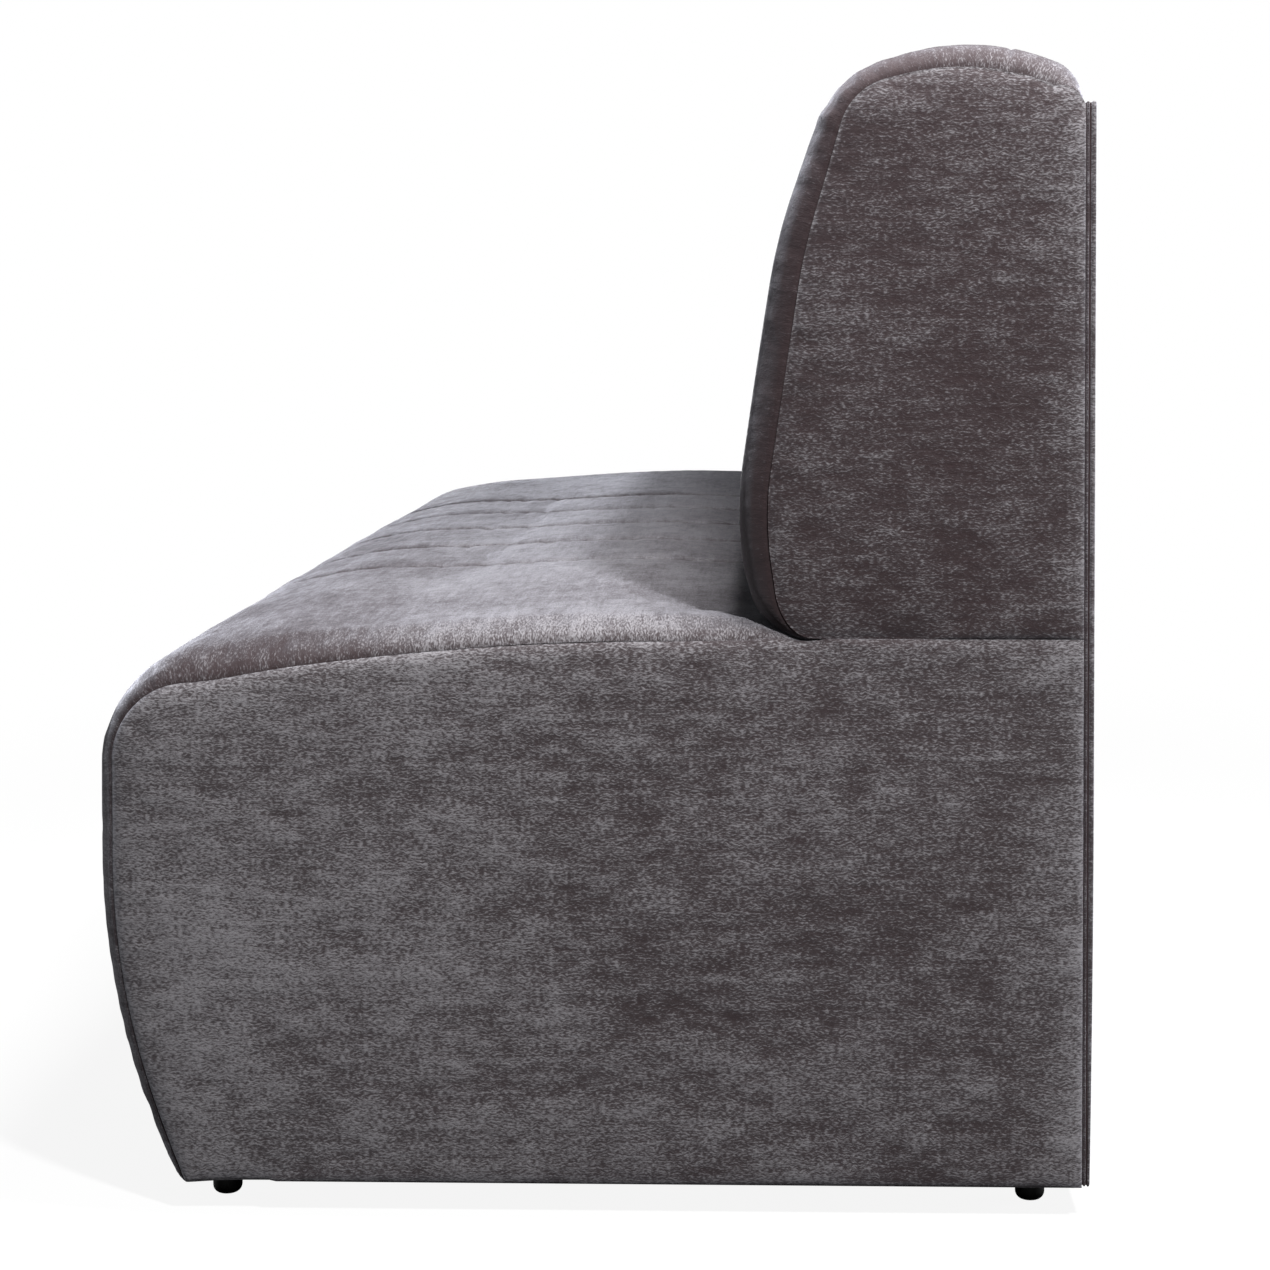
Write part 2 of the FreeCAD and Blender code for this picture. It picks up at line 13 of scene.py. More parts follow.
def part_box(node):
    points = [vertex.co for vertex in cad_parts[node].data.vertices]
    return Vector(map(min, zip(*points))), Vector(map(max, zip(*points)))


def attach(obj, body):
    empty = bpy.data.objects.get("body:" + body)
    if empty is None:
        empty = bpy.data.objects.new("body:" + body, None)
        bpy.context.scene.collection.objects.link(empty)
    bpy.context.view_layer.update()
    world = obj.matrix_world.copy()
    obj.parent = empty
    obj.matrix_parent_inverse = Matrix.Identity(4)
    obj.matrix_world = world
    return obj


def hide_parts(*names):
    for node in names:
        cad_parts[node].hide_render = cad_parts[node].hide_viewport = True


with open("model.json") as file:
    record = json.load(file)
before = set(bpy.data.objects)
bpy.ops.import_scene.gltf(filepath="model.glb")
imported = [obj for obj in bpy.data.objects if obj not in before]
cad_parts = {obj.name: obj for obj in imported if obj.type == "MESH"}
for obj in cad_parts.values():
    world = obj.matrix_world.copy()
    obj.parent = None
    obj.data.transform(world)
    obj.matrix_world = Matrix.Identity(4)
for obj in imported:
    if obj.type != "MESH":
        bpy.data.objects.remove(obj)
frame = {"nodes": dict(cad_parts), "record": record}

# An upholstered dining bench: mottled chenille covers over foam, webbing and a timber frame.
# Metres, X along the bench, -Y the front, +Z up.

LOG = logging.getLogger("bench")
BODY = "root"
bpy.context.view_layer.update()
CLOTH_MAP = "cloth"
NAP = "nap"
SWELL_FRAMES = 14
SEED_WAY = (1.0, 2.3, -1.7)

Triple = tuple[float, float, float]


class Side(Enum):
    """The two ends of the bench, by the sign of X."""

    LEFT = -1
    RIGHT = 1

    @property
    def word(self) -> str:
        """The word that node names use for this end."""
        return self.name.lower()


# Shader graphs


class Wire:
    """A shader socket that takes part in Python arithmetic."""

    def __init__(self, graph: "Graph", socket: bpy.types.NodeSocket) -> None:
        """Wraps a socket.

        Args:
            graph: The graph that new nodes are added to.
            socket: An output socket of one of its nodes.
        """
        self.graph = graph
        self.socket = socket

    def _maths(self, operation: str, *values: "Wire | float") -> "Wire":
        """Adds one Math node.

        Args:
            operation: The node's operation.
            values: Its inputs in order.

        Returns:
            The node's output.
        """
        inputs = dict(enumerate(values))
        return self.graph.node("ShaderNodeMath", {"operation": operation}, inputs)

    def __add__(self, other: "Wire | float") -> "Wire":
        """The sum of two values."""
        return self._maths("ADD", self, other)

    __radd__ = __add__

    def __sub__(self, other: "Wire | float") -> "Wire":
        """The difference of two values."""
        return self._maths("SUBTRACT", self, other)

    def __rsub__(self, other: float) -> "Wire":
        """A number less this value."""
        return self._maths("SUBTRACT", other, self)

    def __mul__(self, other: "Wire | float") -> "Wire":
        """The product of two values."""
        return self._maths("MULTIPLY", self, other)

    __rmul__ = __mul__

    def step(self, low: float, high: float) -> "Wire":
        """A soft step.

        Args:
            low: Where the step leaves 0.
            high: Where it reaches 1.

        Returns:
            The stepped value.
        """
        sockets = {"Value": self, "From Min": low, "From Max": high}
        return self.graph.node("ShaderNodeMapRange", {"interpolation_type": "SMOOTHSTEP"}, sockets)


class Graph:
    """The node tree of one material or of the surroundings, built by expressions."""

    def __init__(self, owner: bpy.types.ID) -> None:
        """Starts an empty tree.

        Args:
            owner: The new material or world that it belongs to.
        """
        owner.use_nodes = True
        self.owner = owner
        self.tree = owner.node_tree
        self.tree.nodes.clear()

    def _added(self, kind: str, settings: dict, sockets: dict) -> bpy.types.Node:
        """Adds one node.

        Args:
            kind: The node's type.
            settings: Its own settings.
            sockets: Values or wires by socket name or number.

        Returns:
            The node.
        """
        made = self.tree.nodes.new(kind)
        for key, value in settings.items():
            setattr(made, key, value)
        for key, value in sockets.items():
            target = made.inputs[key]
            if isinstance(value, Wire):
                self.tree.links.new(value.socket, target)
            else:
                target.default_value = value
        return made

    def node(self, kind: str, settings: dict | None = None, sockets: dict | None = None,
             output: int | str = 0) -> Wire:
        """Adds one node and wraps one of its outputs.

        Args:
            kind: The node's type.
            settings: Its own settings.
            sockets: Values or wires by socket name or number.
            output: The name or number of the output.

        Returns:
            That output.
        """
        return Wire(self, self._added(kind, settings or {}, sockets or {}).outputs[output])

    def place(self) -> Wire:
        """The point in the object's own space."""
        return self.node("ShaderNodeTexCoord", output="Object")

    def cloth_place(self) -> Wire:
        """The point on the unrolled cloth, in metres."""
        return self.node("ShaderNodeUVMap", {"uv_map": CLOTH_MAP})

    def scaled(self, vector: Wire, scale: Triple, shift: Triple = (0.0, 0.0, 0.0)) -> Wire:
        """A vector with its axes scaled and moved.

        Args:
            vector: The vector.
            scale: The factor of each axis.
            shift: What is added afterwards.

        Returns:
            The new vector.
        """
        settings = {"operation": "MULTIPLY_ADD"}
        return self.node("ShaderNodeVectorMath", settings, {0: vector, 1: scale, 2: shift})

    def moved(self, vector: Wire, by: Wire) -> Wire:
        """The sum of two vectors."""
        return self.node("ShaderNodeVectorMath", {"operation": "ADD"}, {0: vector, 1: by})

    def noise(self, vector: Wire, scale: float, detail: float = 2.0, roughness: float = 0.5) -> Wire:
        """Smooth noise between 0 and 1.

        Args:
            vector: Where it is read.
            scale: Features per unit length.
            detail: Octaves.
            roughness: Weight of the finer octaves.

        Returns:
            The noise value.
        """
        sockets = {"Vector": vector, "Scale": scale, "Detail": detail, "Roughness": roughness}
        return self.node("ShaderNodeTexNoise", {"noise_dimensions": "3D"}, sockets)

    def mix(self, factor: Wire | float, low: Wire | Triple, high: Wire | Triple,
            blend: str = "MIX") -> Wire:
        """A mix of two colours.

        Args:
            factor: The share of the second one.
            low: The first colour.
            high: The second colour.
            blend: The blend mode.

        Returns:
            The mixed colour.
        """
        settings = {"data_type": "RGBA", "blend_type": blend}
        colours = [c if isinstance(c, Wire) else (*c, 1.0) for c in (low, high)]
        return self.node("ShaderNodeMix", settings, {0: factor, 6: colours[0], 7: colours[1]}, output=2)

    def bump(self, height: Wire, strength: float, distance: float, under: Wire | None = None) -> Wire:
        """A normal bent by a height.

        Args:
            height: The height, in units of distance.
            strength: The node's strength.
            distance: The length of one unit of height, in metres.
            under: A normal that this one is laid over.

        Returns:
            The bent normal.
        """
        sockets = {"Height": height, "Strength": strength, "Distance": distance}
        if under is not None:
            sockets["Normal"] = under
        return self.node("ShaderNodeBump", {}, sockets)

    def principled(self, **sockets: "Wire | float | tuple") -> Wire:
        """Adds a Principled shader.

        Args:
            sockets: Its sockets by name, with underscores for spaces.

        Returns:
            The shader.
        """
        named = {key.replace("_", " "): value for key, value in sockets.items()}
        return self.node("ShaderNodeBsdfPrincipled", {}, named)

    def close(self, shader: Wire, output: str = "ShaderNodeOutputMaterial") -> bpy.types.ID:
        """Links a shader to the tree's output.

        Args:
            shader: The shader.
            output: The type of the output node.

        Returns:
            The finished material or world.
        """
        self._added(output, {}, {"Surface": shader})
        return self.owner

    def surface(self, **sockets: "Wire | float | tuple") -> bpy.types.Material:
        """Closes a material with a Principled shader.

        Args:
            sockets: The shader's sockets by name, with underscores for spaces.

        Returns:
            The finished material.
        """
        return self.close(self.principled(**sockets))


def srgb(red: float, green: float, blue: float) -> Triple:
    """A display colour in 0 to 255 as linear values.

    Args:
        red: The red part.
        green: The green part.
        blue: The blue part.

    Returns:
        The linear colour.
    """
    shares = [channel / 255 for channel in (red, green, blue)]
    return tuple(c / 12.92 if c <= 0.04045 else ((c + 0.055) / 1.055) ** 2.4 for c in shares)


# Finishes


@dataclass(frozen=True)
class Grain:
    """A noise stretched along the cloth, and the share that it has in the lay of the pile."""

    scale: Triple
    shift: Triple = (0.0, 0.0, 0.0)
    detail: float = 2.0
    roughness: float = 0.5
    share: float = 0.0

    def noise(self, g: Graph, vector: Wire) -> Wire:
        """The noise at a place, between 0 and 1."""
        return g.noise(g.scaled(vector, self.scale, self.shift), 1.0, self.detail, self.roughness)


@dataclass(frozen=True)
class Chenille:
    """The cover fabric: dark yarns, silvery filaments in broken rows, and patches of laid pile.

    Yarns run along the first axis of the cloth map. How many filaments show depends on the lay of the
    nap, which each cover carries as an attribute; on some covers that attribute also carries painted shade
    and a painted highlight.
    """

    name: str = "chenille"
    dark: Triple = srgb(36, 26, 27)
    middle: Triple = srgb(49, 44, 45)
    silver: Triple = srgb(116, 114, 117)
    row_pitch: float = 0.0012
    filament_length: float = 0.0034
    filament_shift: Triple = (0.3, 0.7, 0.0)
    filament_detail: float = 1.6
    filament_roughness: float = 0.65
    wander: float = 0.0016
    wander_grain: Grain = Grain((190.0, 130.0, 1.0), detail=1.0)
    broad: Grain = Grain((5.0, 7.0, 1.0), (2.2, 8.1, 0.0), share=0.25)
    patch: Grain = Grain((22.0, 36.0, 1.0), detail=3.0, roughness=0.6, share=0.28)
    blot: Grain = Grain((60.0, 110.0, 1.0), (5.1, 2.7, 0.0), roughness=0.6, share=0.27)
    streak: Grain = Grain((16.0, 300.0, 1.0), share=0.2)
    pile: Grain = Grain((900.0, 1500.0, 1.0), roughness=0.6)
    pile_range: tuple[float, float] = (0.25, 0.8)
    pile_dark: Triple = (0.86, 0.85, 0.85)
    pile_light: Triple = (1.1, 1.1, 1.1)
    nap_pull: float = 0.22
    lit_range: tuple[float, float] = (0.42, 0.74)
    ground_contrast: float = 1.4
    silver_least: float = 0.46
    silver_gain: float = 0.36
    lay_patches: float = 0.7
    lay_strength: float = 0.6
    lay_depth: float = 0.006
    thread_filaments: float = 0.6
    thread_pile: float = 0.4
    thread_blots: float = 0.8
    thread_strength: float = 0.5
    thread_depth: float = 0.0011
    roughness: float = 0.8
    pile_roughness: float = 0.12
    specular: float = 0.15
    sheen: float = 0.5
    pressed_sheen: float = 0.15
    sheen_roughness: float = 0.48
    sheen_tint: tuple[float, float, float, float] = (0.86, 0.88, 1.0, 1.0)
    raised: float = 0.35
    raised_by_lay: float = 1.6
    raised_by_nap: float = 0.5
    raised_by_filaments: float = 0.5
    raised_range: tuple[float, float] = (0.15, 0.85)

    def material(self) -> bpy.types.Material:
        """Builds the fabric's node tree.

        Returns:
            The material.
        """
        g = Graph(bpy.data.materials.new(self.name))
        cloth = g.cloth_place()
        nap = g.node("ShaderNodeAttribute", {"attribute_name": NAP}, output="Fac")
        sway = self.wander_grain.noise(g, cloth) - 0.5
        wavy = g.moved(cloth, g.node("ShaderNodeCombineXYZ", {}, {"Y": sway * self.wander * 2}))
        broad, patches, blots = (grain.noise(g, cloth) for grain in (self.broad, self.patch, self.blot))
        streaks = self.streak.noise(g, wavy)
        rows = (1 / self.filament_length, 1 / self.row_pitch, 1.0)
        filament = Grain(rows, self.filament_shift, self.filament_detail, self.filament_roughness)
        filaments = filament.noise(g, wavy)
        pile = self.pile.noise(g, cloth)
        lay = (patches - 0.5) * self.patch.share + (blots - 0.5) * self.blot.share
        lay = lay + (broad - 0.5) * self.broad.share + (streaks - 0.5) * self.streak.share
        lit = (filaments + lay + (nap - 0.5) * self.nap_pull).step(*self.lit_range)
        ground = g.mix((lay * self.ground_contrast + nap).step(0.0, 1.0), self.dark, self.middle)
        colour = g.mix(lit * (nap * self.silver_gain + self.silver_least), ground, self.silver)
        shade = g.mix(pile.step(*self.pile_range), self.pile_dark, self.pile_light)
        laid = g.bump(patches * self.lay_patches + broad, self.lay_strength, self.lay_depth)
        relief = filaments * self.thread_filaments + pile * self.thread_pile + blots * self.thread_blots
        shared = {
            "Base_Color": g.mix(1.0, colour, shade, "MULTIPLY"),
            "Roughness": self.roughness + self.pile_roughness * pile,
            "Normal": g.bump(relief, self.thread_strength, self.thread_depth, laid),
            "Specular_IOR_Level": self.specular,
            "Sheen_Roughness": self.sheen_roughness,
            "Sheen_Tint": self.sheen_tint,
        }
        raised = g.principled(Sheen_Weight=self.sheen, **shared)
        pressed = g.principled(Sheen_Weight=self.pressed_sheen, **shared)
        share = lay * self.raised_by_lay + self.raised + nap * self.raised_by_nap
        share = (share + (filaments - 0.5) * self.raised_by_filaments).step(*self.raised_range)
        return g.close(g.node("ShaderNodeMixShader", {}, {0: share, 1: pressed, 2: raised}))


@dataclass(frozen=True)
class Timber:
    """Raw timber with rings along one axis, or plywood with its layers across another."""

    name: str
    light: Triple
    dark: Triple
    grain: Triple
    layers: float = 0.0
    layer_share: float = 0.4
    layer_waver: float = 0.2
    ring_range: tuple[float, float] = (0.3, 0.7)
    ring_share: float = 0.6
    ring_detail: float = 3.0
    fibre_fineness: float = 9.0
    fibre_strength: float = 0.3
    fibre_depth: float = 0.0006
    roughness: float = 0.55
    fibre_roughness: float = 0.2

    def material(self) -> bpy.types.Material:
        """Builds the wood's node tree.

        Returns:
            The material.
        """
        g = Graph(bpy.data.materials.new(self.name))
        place = g.place()
        rings = g.noise(g.scaled(place, self.grain), 1.0, self.ring_detail)
        fibre = g.noise(g.scaled(place, tuple(self.fibre_fineness * axis for axis in self.grain)), 1.0)
        wood = rings.step(*self.ring_range) * self.ring_share + fibre * (1 - self.ring_share)
        if self.layers:
            sockets = {"Vector": place, "Scale": self.layers, "Distortion": self.layer_waver}
            layers = g.node("ShaderNodeTexWave", {"bands_direction": "X"}, sockets, "Fac")
            wood = wood * (1 - self.layer_share) + self.layer_share * layers
        return g.surface(
            Base_Color=g.mix(wood, self.light, self.dark),
            Roughness=self.roughness + self.fibre_roughness * fibre,
            Normal=g.bump(fibre, self.fibre_strength, self.fibre_depth),
        )


@dataclass(frozen=True)
class Porous:
    """A matt open material: foam, felt, webbing or thin cloth."""

    name: str
    light: Triple
    dark: Triple
    cell: float
    stretch: Triple = (1.0, 1.0, 1.0)
    depth: float = 0.0008
    strength: float = 0.5
    cell_range: tuple[float, float] = (0.1, 0.8)
    cell_share: float = 0.6
    cloud_scale: float = 0.08
    cloud_detail: float = 3.0
    roughness: float = 0.85
    cloud_roughness: float = 0.1
    specular: float = 0.2

    def material(self) -> bpy.types.Material:
        """Builds the material's node tree.

        Returns:
            The material.
        """
        g = Graph(bpy.data.materials.new(self.name))
        place = g.scaled(g.place(), tuple(axis / self.cell for axis in self.stretch))
        sockets = {"Vector": place, "Scale": 1.0}
        cells = g.node("ShaderNodeTexVoronoi", {"feature": "F1"}, sockets, "Distance")
        cloud = g.noise(place, self.cloud_scale, self.cloud_detail)
        depth = cells.step(*self.cell_range) * self.cell_share + cloud * (1 - self.cell_share)
        return g.surface(
            Base_Color=g.mix(depth, self.light, self.dark),
            Roughness=self.roughness + self.cloud_roughness * cloud,
            Normal=g.bump(cells, self.strength, self.depth),
            Specular_IOR_Level=self.specular,
        )


@dataclass(frozen=True)
class Hard:
    """A moulded plastic or a plated steel."""

    name: str
    colour: Triple
    worn: Triple
    metallic: float
    roughness: float
    grit: float = 1800.0
    grit_strength: float = 0.25
    grit_depth: float = 0.0003
    scuff_scale: float = 140.0
    scuff_detail: float = 4.0
    scuff_roughness: float = 0.65
    scuff_range: tuple[float, float] = (0.55, 0.75)
    scuff_share: float = 0.5
    scuff_dulling: float = 0.15

    def material(self) -> bpy.types.Material:
        """Builds the material's node tree.

        Returns:
            The material.
        """
        g = Graph(bpy.data.materials.new(self.name))
        place = g.place()
        grit = g.noise(place, self.grit)
        scuffs = g.noise(place, self.scuff_scale, self.scuff_detail, self.scuff_roughness)
        scuffs = scuffs.step(*self.scuff_range)
        return g.surface(
            Base_Color=g.mix(scuffs * self.scuff_share, self.colour, self.worn),
            Metallic=self.metallic,
            Roughness=self.roughness + self.scuff_dulling * scuffs,
            Normal=g.bump(grit, self.grit_strength, self.grit_depth),
        )


class Finish(Enum):
    """The record's material slots and the finish of each."""

    cover_fabric = Chenille()
    foam = Porous("seat_foam", srgb(236, 226, 190), srgb(205, 190, 150), 0.0016)
    felt = Porous("grey_felt", srgb(168, 164, 160), srgb(120, 117, 116), 0.004, (1, 1, 4), 0.0005)
    webbing = Porous("black_webbing", srgb(62, 60, 62), srgb(30, 29, 31), 0.0022, (1.0, 1.0, 1.0), 0.0009)
    dust_cloth = Porous("dust_cloth", srgb(38, 38, 40), srgb(20, 20, 22), 0.0018, (1, 1, 1), 0.0004)
    frame_timber = Timber("planed_timber", srgb(214, 178, 128), srgb(170, 124, 76), (3.0, 40.0, 40.0))
    plywood = Timber("plywood", srgb(222, 192, 146), srgb(182, 142, 96), (30.0, 5.0, 5.0), 180.0)
    foot_plastic = Hard("black_plastic", srgb(16, 16, 17), srgb(44, 44, 46), 0.0, 0.42)
    bolt_steel = Hard("plated_steel", srgb(176, 178, 182), srgb(120, 120, 124), 1.0, 0.3)

    @property
    def made(self) -> bpy.types.Material:
        """The finish's material, built on first use."""
        return bpy.data.materials.get(self.value.name) or self.value.material()


# Working with pieces


class Workbench:
    """Small helpers that every sub-assembly uses on its pieces."""

    @staticmethod
    def alone(piece: bpy.types.Object) -> None:
        """Selects one piece and makes it active.

        Args:
            piece: The piece.
        """
        bpy.ops.object.select_all(action="DESELECT")
        piece.select_set(True)
        bpy.context.view_layer.objects.active = piece

    @staticmethod
    def started(name: str, operator: Callable, **settings: object) -> bpy.types.Object:
        """Adds a primitive by itself.

        Args:
            name: The piece's name.
            operator: The operator that adds the primitive.
            settings: The operator's settings.

        Returns:
            The new object.
        """
        bpy.ops.object.select_all(action="DESELECT")
        operator(**settings)
        piece = bpy.context.object
        piece.name = name
        piece.data.name = name
        return piece

    @staticmethod
    def points(piece: bpy.types.Object) -> np.ndarray:
        """The places of a piece's vertices, one row each."""
        return Workbench._rows(piece, "co")

    @staticmethod
    def normals(piece: bpy.types.Object) -> np.ndarray:
        """The normals of a piece's vertices, one row each."""
        return Workbench._rows(piece, "normal")

    @staticmethod
    def _rows(piece: bpy.types.Object, what: str) -> np.ndarray:
        """Reads a vector of every vertex.

        Args:
            piece: The piece.
            what: The vector's name on a vertex.

        Returns:
            One row for each vertex.
        """
        flat = np.empty(len(piece.data.vertices) * 3, np.float64)
        piece.data.vertices.foreach_get(what, flat)
        return flat.reshape(-1, 3)

    @staticmethod
    def set_points(piece: bpy.types.Object, points: np.ndarray) -> None:
        """Moves the piece's vertices."""
        piece.data.vertices.foreach_set("co", np.asarray(points, np.float64).ravel())
        piece.data.update()

    @staticmethod
    def select(piece: bpy.types.Object, mode: str, test: Callable) -> None:
        """Opens a piece for editing with only some elements selected.

        Args:
            piece: The piece.
            mode: EDGE or FACE.
            test: Says whether an element is selected, given its middle and its direction or normal.
        """
        Workbench.alone(piece)
        bpy.ops.object.mode_set(mode="EDIT")
        bpy.ops.mesh.select_mode(type=mode)
        bpy.ops.mesh.select_all(action="DESELECT")
        bpy.ops.object.mode_set(mode="OBJECT")
        mesh = piece.data
        if mode == "FACE":
            for face in mesh.polygons:
                face.select = test(face.center, face.normal)
        else:
            for edge in mesh.edges:
                a, b = (mesh.vertices[i].co for i in edge.vertices)
                edge.select = test((a + b) / 2, (b - a).normalized())
        bpy.ops.object.mode_set(mode="EDIT")

    @staticmethod
    def opened(piece: bpy.types.Object) -> None:
        """Opens a piece for editing with everything selected.

        Args:
            piece: The piece.
        """
        Workbench.alone(piece)
        bpy.ops.object.mode_set(mode="EDIT")
        bpy.ops.mesh.select_all(action="SELECT")

    @staticmethod
    def closed() -> None:
        """Leaves edit mode."""
        bpy.ops.object.mode_set(mode="OBJECT")

    @staticmethod
    def joined(name: str, pieces: Sequence[bpy.types.Object]) -> bpy.types.Object:
        """Joins pieces into the first of them.

        Args:
            name: The joined piece's name.
            pieces: The pieces.

        Returns:
            The joined piece.
        """
        Workbench.alone(pieces[0])
        for piece in pieces:
            piece.select_set(True)
        bpy.ops.object.join()
        bpy.context.object.name = name
        return bpy.context.object

    @staticmethod
    def modify(piece: bpy.types.Object, kind: str, **settings: object) -> None:
        """Adds one modifier and applies it.

        Args:
            piece: The piece.
            kind: The modifier's type.
            settings: Its settings.
        """
        Workbench.alone(piece)
        modifier = piece.modifiers.new(kind.title(), kind)
        for key, value in settings.items():
            setattr(modifier, key, value)
        bpy.ops.object.modifier_apply(modifier=modifier.name)

    @staticmethod
    def dress(piece: bpy.types.Object, finish: Finish, *nodes: str) -> None:
        """Gives a finished piece its place in the frame and its material.

        Args:
            piece: The piece.
            finish: Its finish.
            nodes: The CAD nodes that it stands for.
        """
        piece.data.materials.clear()
        piece.data.materials.append(finish.made)
        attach(piece, BODY)
        if nodes:
            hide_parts(*nodes)
        LOG.info("%s: %d faces, %s", piece.name, len(piece.data.polygons), finish.name)


# Soft forms


@dataclass(frozen=True)
class Corner:
    """A corner of a side outline, with the radius that rounds it off."""

    y: float
    z: float
    radius: float = 0.0


class Outline:
    """An open side outline of straight runs and round corners, walked from its first corner to its last."""

    FINE = 0.0005
    FILLET_SHARE = 0.98
    TINY = 1e-7
    FEWEST = 6

    def __init__(self, corners: Sequence[Corner]) -> None:
        """Lays the outline out.

        Args:
            corners: Its corners, walked with the outside on the left hand.
        """
        self.corners = list(corners)
        path = self._rounded()
        steps = np.linalg.norm(np.diff(path, axis=0), axis=1)
        path = path[np.concatenate([[True], steps > self.TINY])]
        steps = np.linalg.norm(np.diff(path, axis=0), axis=1)
        self.at = np.concatenate([[0.0], np.cumsum(steps)])
        self.path = path
        along = np.gradient(path, self.at, axis=0)
        along /= np.linalg.norm(along, axis=1)[:, None]
        self.out = np.stack([-along[:, 1], along[:, 0]], axis=1)
        self.length = float(self.at[-1])

    def _rounded(self) -> np.ndarray:
        """The outline as many points.

        Returns:
            An array of (y, z).
        """
        points = np.array([(c.y, c.z) for c in self.corners])
        runs = np.linalg.norm(np.diff(points, axis=0), axis=1)
        turns, wanted = [0.0], [0.0]
        for i in range(1, len(points) - 1):
            before, after = points[i] - points[i - 1], points[i + 1] - points[i]
            turn = math.atan2(before[0] * after[1] - before[1] * after[0], float(before @ after))
            turns.append(turn)
            wanted.append(self.corners[i].radius * math.tan(abs(turn) / 2))
        turns.append(0.0)
        wanted.append(0.0)
        share = []
        for run, near, far in zip(runs, wanted, wanted[1:]):
            share.append(min(1.0, self.FILLET_SHARE * run / max(self.TINY, near + far)))
        path = [points[:1]]
        for i in range(1, len(points) - 1):
            reach = wanted[i] * min(share[i - 1], share[i])
            before = (points[i - 1] - points[i]) / runs[i - 1]
            after = (points[i + 1] - points[i]) / runs[i]
            path.append(self._arc(points[i], before, after, reach, turns[i]))
        path.append(points[-1:])
        return self._divided(np.vstack(path))

    @staticmethod
    def _arc(corner: np.ndarray, before: np.ndarray, after: np.ndarray, reach: float,
             turn: float) -> np.ndarray:
        """The round of one corner.

        Args:
            corner: The corner's point.
            before: Unit direction back along the outline.
            after: Unit direction onwards.
            reach: How far the round reaches along both runs.
            turn: The outline's turn there.

        Returns:
            Points along the round.
        """
        if reach < Outline.TINY:
            return corner[None]
        half = abs(turn) / 2
        radius = reach / math.tan(half)
        inwards = (before + after) / np.linalg.norm(before + after)
        centre = corner + inwards * radius / math.cos(half)
        start = corner + before * reach - centre
        angles = np.linspace(0.0, turn, max(Outline.FEWEST, int(radius * abs(turn) / Outline.FINE)))
        cos, sin = np.cos(angles), np.sin(angles)
        return centre + np.stack([start[0] * cos - start[1] * sin, start[0] * sin + start[1] * cos], axis=1)

    @staticmethod
    def _divided(points: np.ndarray) -> np.ndarray:
        """Divides the long runs of a path.

        Args:
            points: The path's points.

        Returns:
            The same path with more points.
        """
        parts = []
        for a, b in zip(points, points[1:]):
            count = max(1, int(np.linalg.norm(b - a) / Outline.FINE))
            parts.append(a + (b - a) * np.linspace(0, 1, count, endpoint=False)[:, None])
        return np.vstack(parts + [points[-1:]])

    def points(self, places: np.ndarray) -> np.ndarray:
        """Points of the outline at given lengths along it."""
        return np.stack([np.interp(places, self.at, self.path[:, k]) for k in (0, 1)], axis=1)

    def normals(self, places: np.ndarray) -> np.ndarray:
        """Outward unit normals at given lengths along it."""
        out = np.stack([np.interp(places, self.at, self.out[:, k]) for k in (0, 1)], axis=1)
        return out / np.linalg.norm(out, axis=1)[:, None]

    def nearest(self, y: float, z: float) -> float:
        """The length along the outline nearest to a point."""
        return float(self.at[np.argmin(np.hypot(self.path[:, 0] - y, self.path[:, 1] - z))])


@dataclass(frozen=True)
class Seam:
    """A sewn line across a cover that draws it in."""

    x: float
    draw: float
    roll: float
    steps: int


def ramp(at: np.ndarray, start: float, run: float) -> np.ndarray:
    """A straight rise from 0 to 1 that starts at a place and takes a run."""
    return np.clip((at - start) / run, 0, 1)


def smooth(share: np.ndarray) -> np.ndarray:
    """A share from 0 to 1 with both of its ends eased."""
    return share * share * (3 - 2 * share)


def hump(at: np.ndarray, middle: float, width: float) -> np.ndarray:
    """A smooth hump of height 1."""
    return np.exp(-(((at - middle) / width) ** 2))


@dataclass(frozen=True)
class Pucker:
    """Small gathers beside a seam: two waves that drift along it and fade away from it.

    The lengths of the second wave, the drift and the swell are in pitches of the first wave.
    """

    height: float = 0.0004
    pitch: float = 0.021
    reach: float = 0.016
    drift: float = 1.05
    drift_length: float = 2.7
    first_phase: float = 5.3
    second: float = 0.6
    second_length: float = 1.73
    second_phase: float = 2.1
    swell: float = 0.45
    swell_length: float = 5.1
    swell_phase: float = 1.7
    fade: float = 0.25

    def lift(self, along: np.ndarray, away: np.ndarray, seed: float) -> np.ndarray:
        """How far the cloth stands out beside the seam.

        Args:
            along: Length along the seam.
            away: Distance from the seam.
            seed: Shifts the gathers from one seam to the next.

        Returns:
            The height at each point.
        """
        turns = 2 * np.pi * along / self.pitch
        drift = self.drift * np.sin(along / (self.pitch * self.drift_length) + seed)
        wave = np.sin(turns + seed * self.first_phase + drift)
        wave += self.second * np.sin(turns / self.second_length + seed * self.second_phase)
        swell = np.sin(along / (self.pitch * self.swell_length) + seed * self.swell_phase)
        swell = 1 - self.swell + self.swell * swell
        near = away / self.reach
        return self.height * swell * wave * near * np.exp(1.0 - near - self.fade * near * near)


def waves(points: np.ndarray, length: float, seed: float) -> np.ndarray:
    """Slow unevenness of stuffed cloth, between about -1 and 1.

    Args:
        points: The points, one row each.
        length: The usual distance between swells.
        seed: Shifts the pattern.

    Returns:
        One value for each point.
    """
    shift = Vector([seed * axis for axis in SEED_WAY])
    return np.array([noise.noise(Vector(p) / length + shift) for p in points])


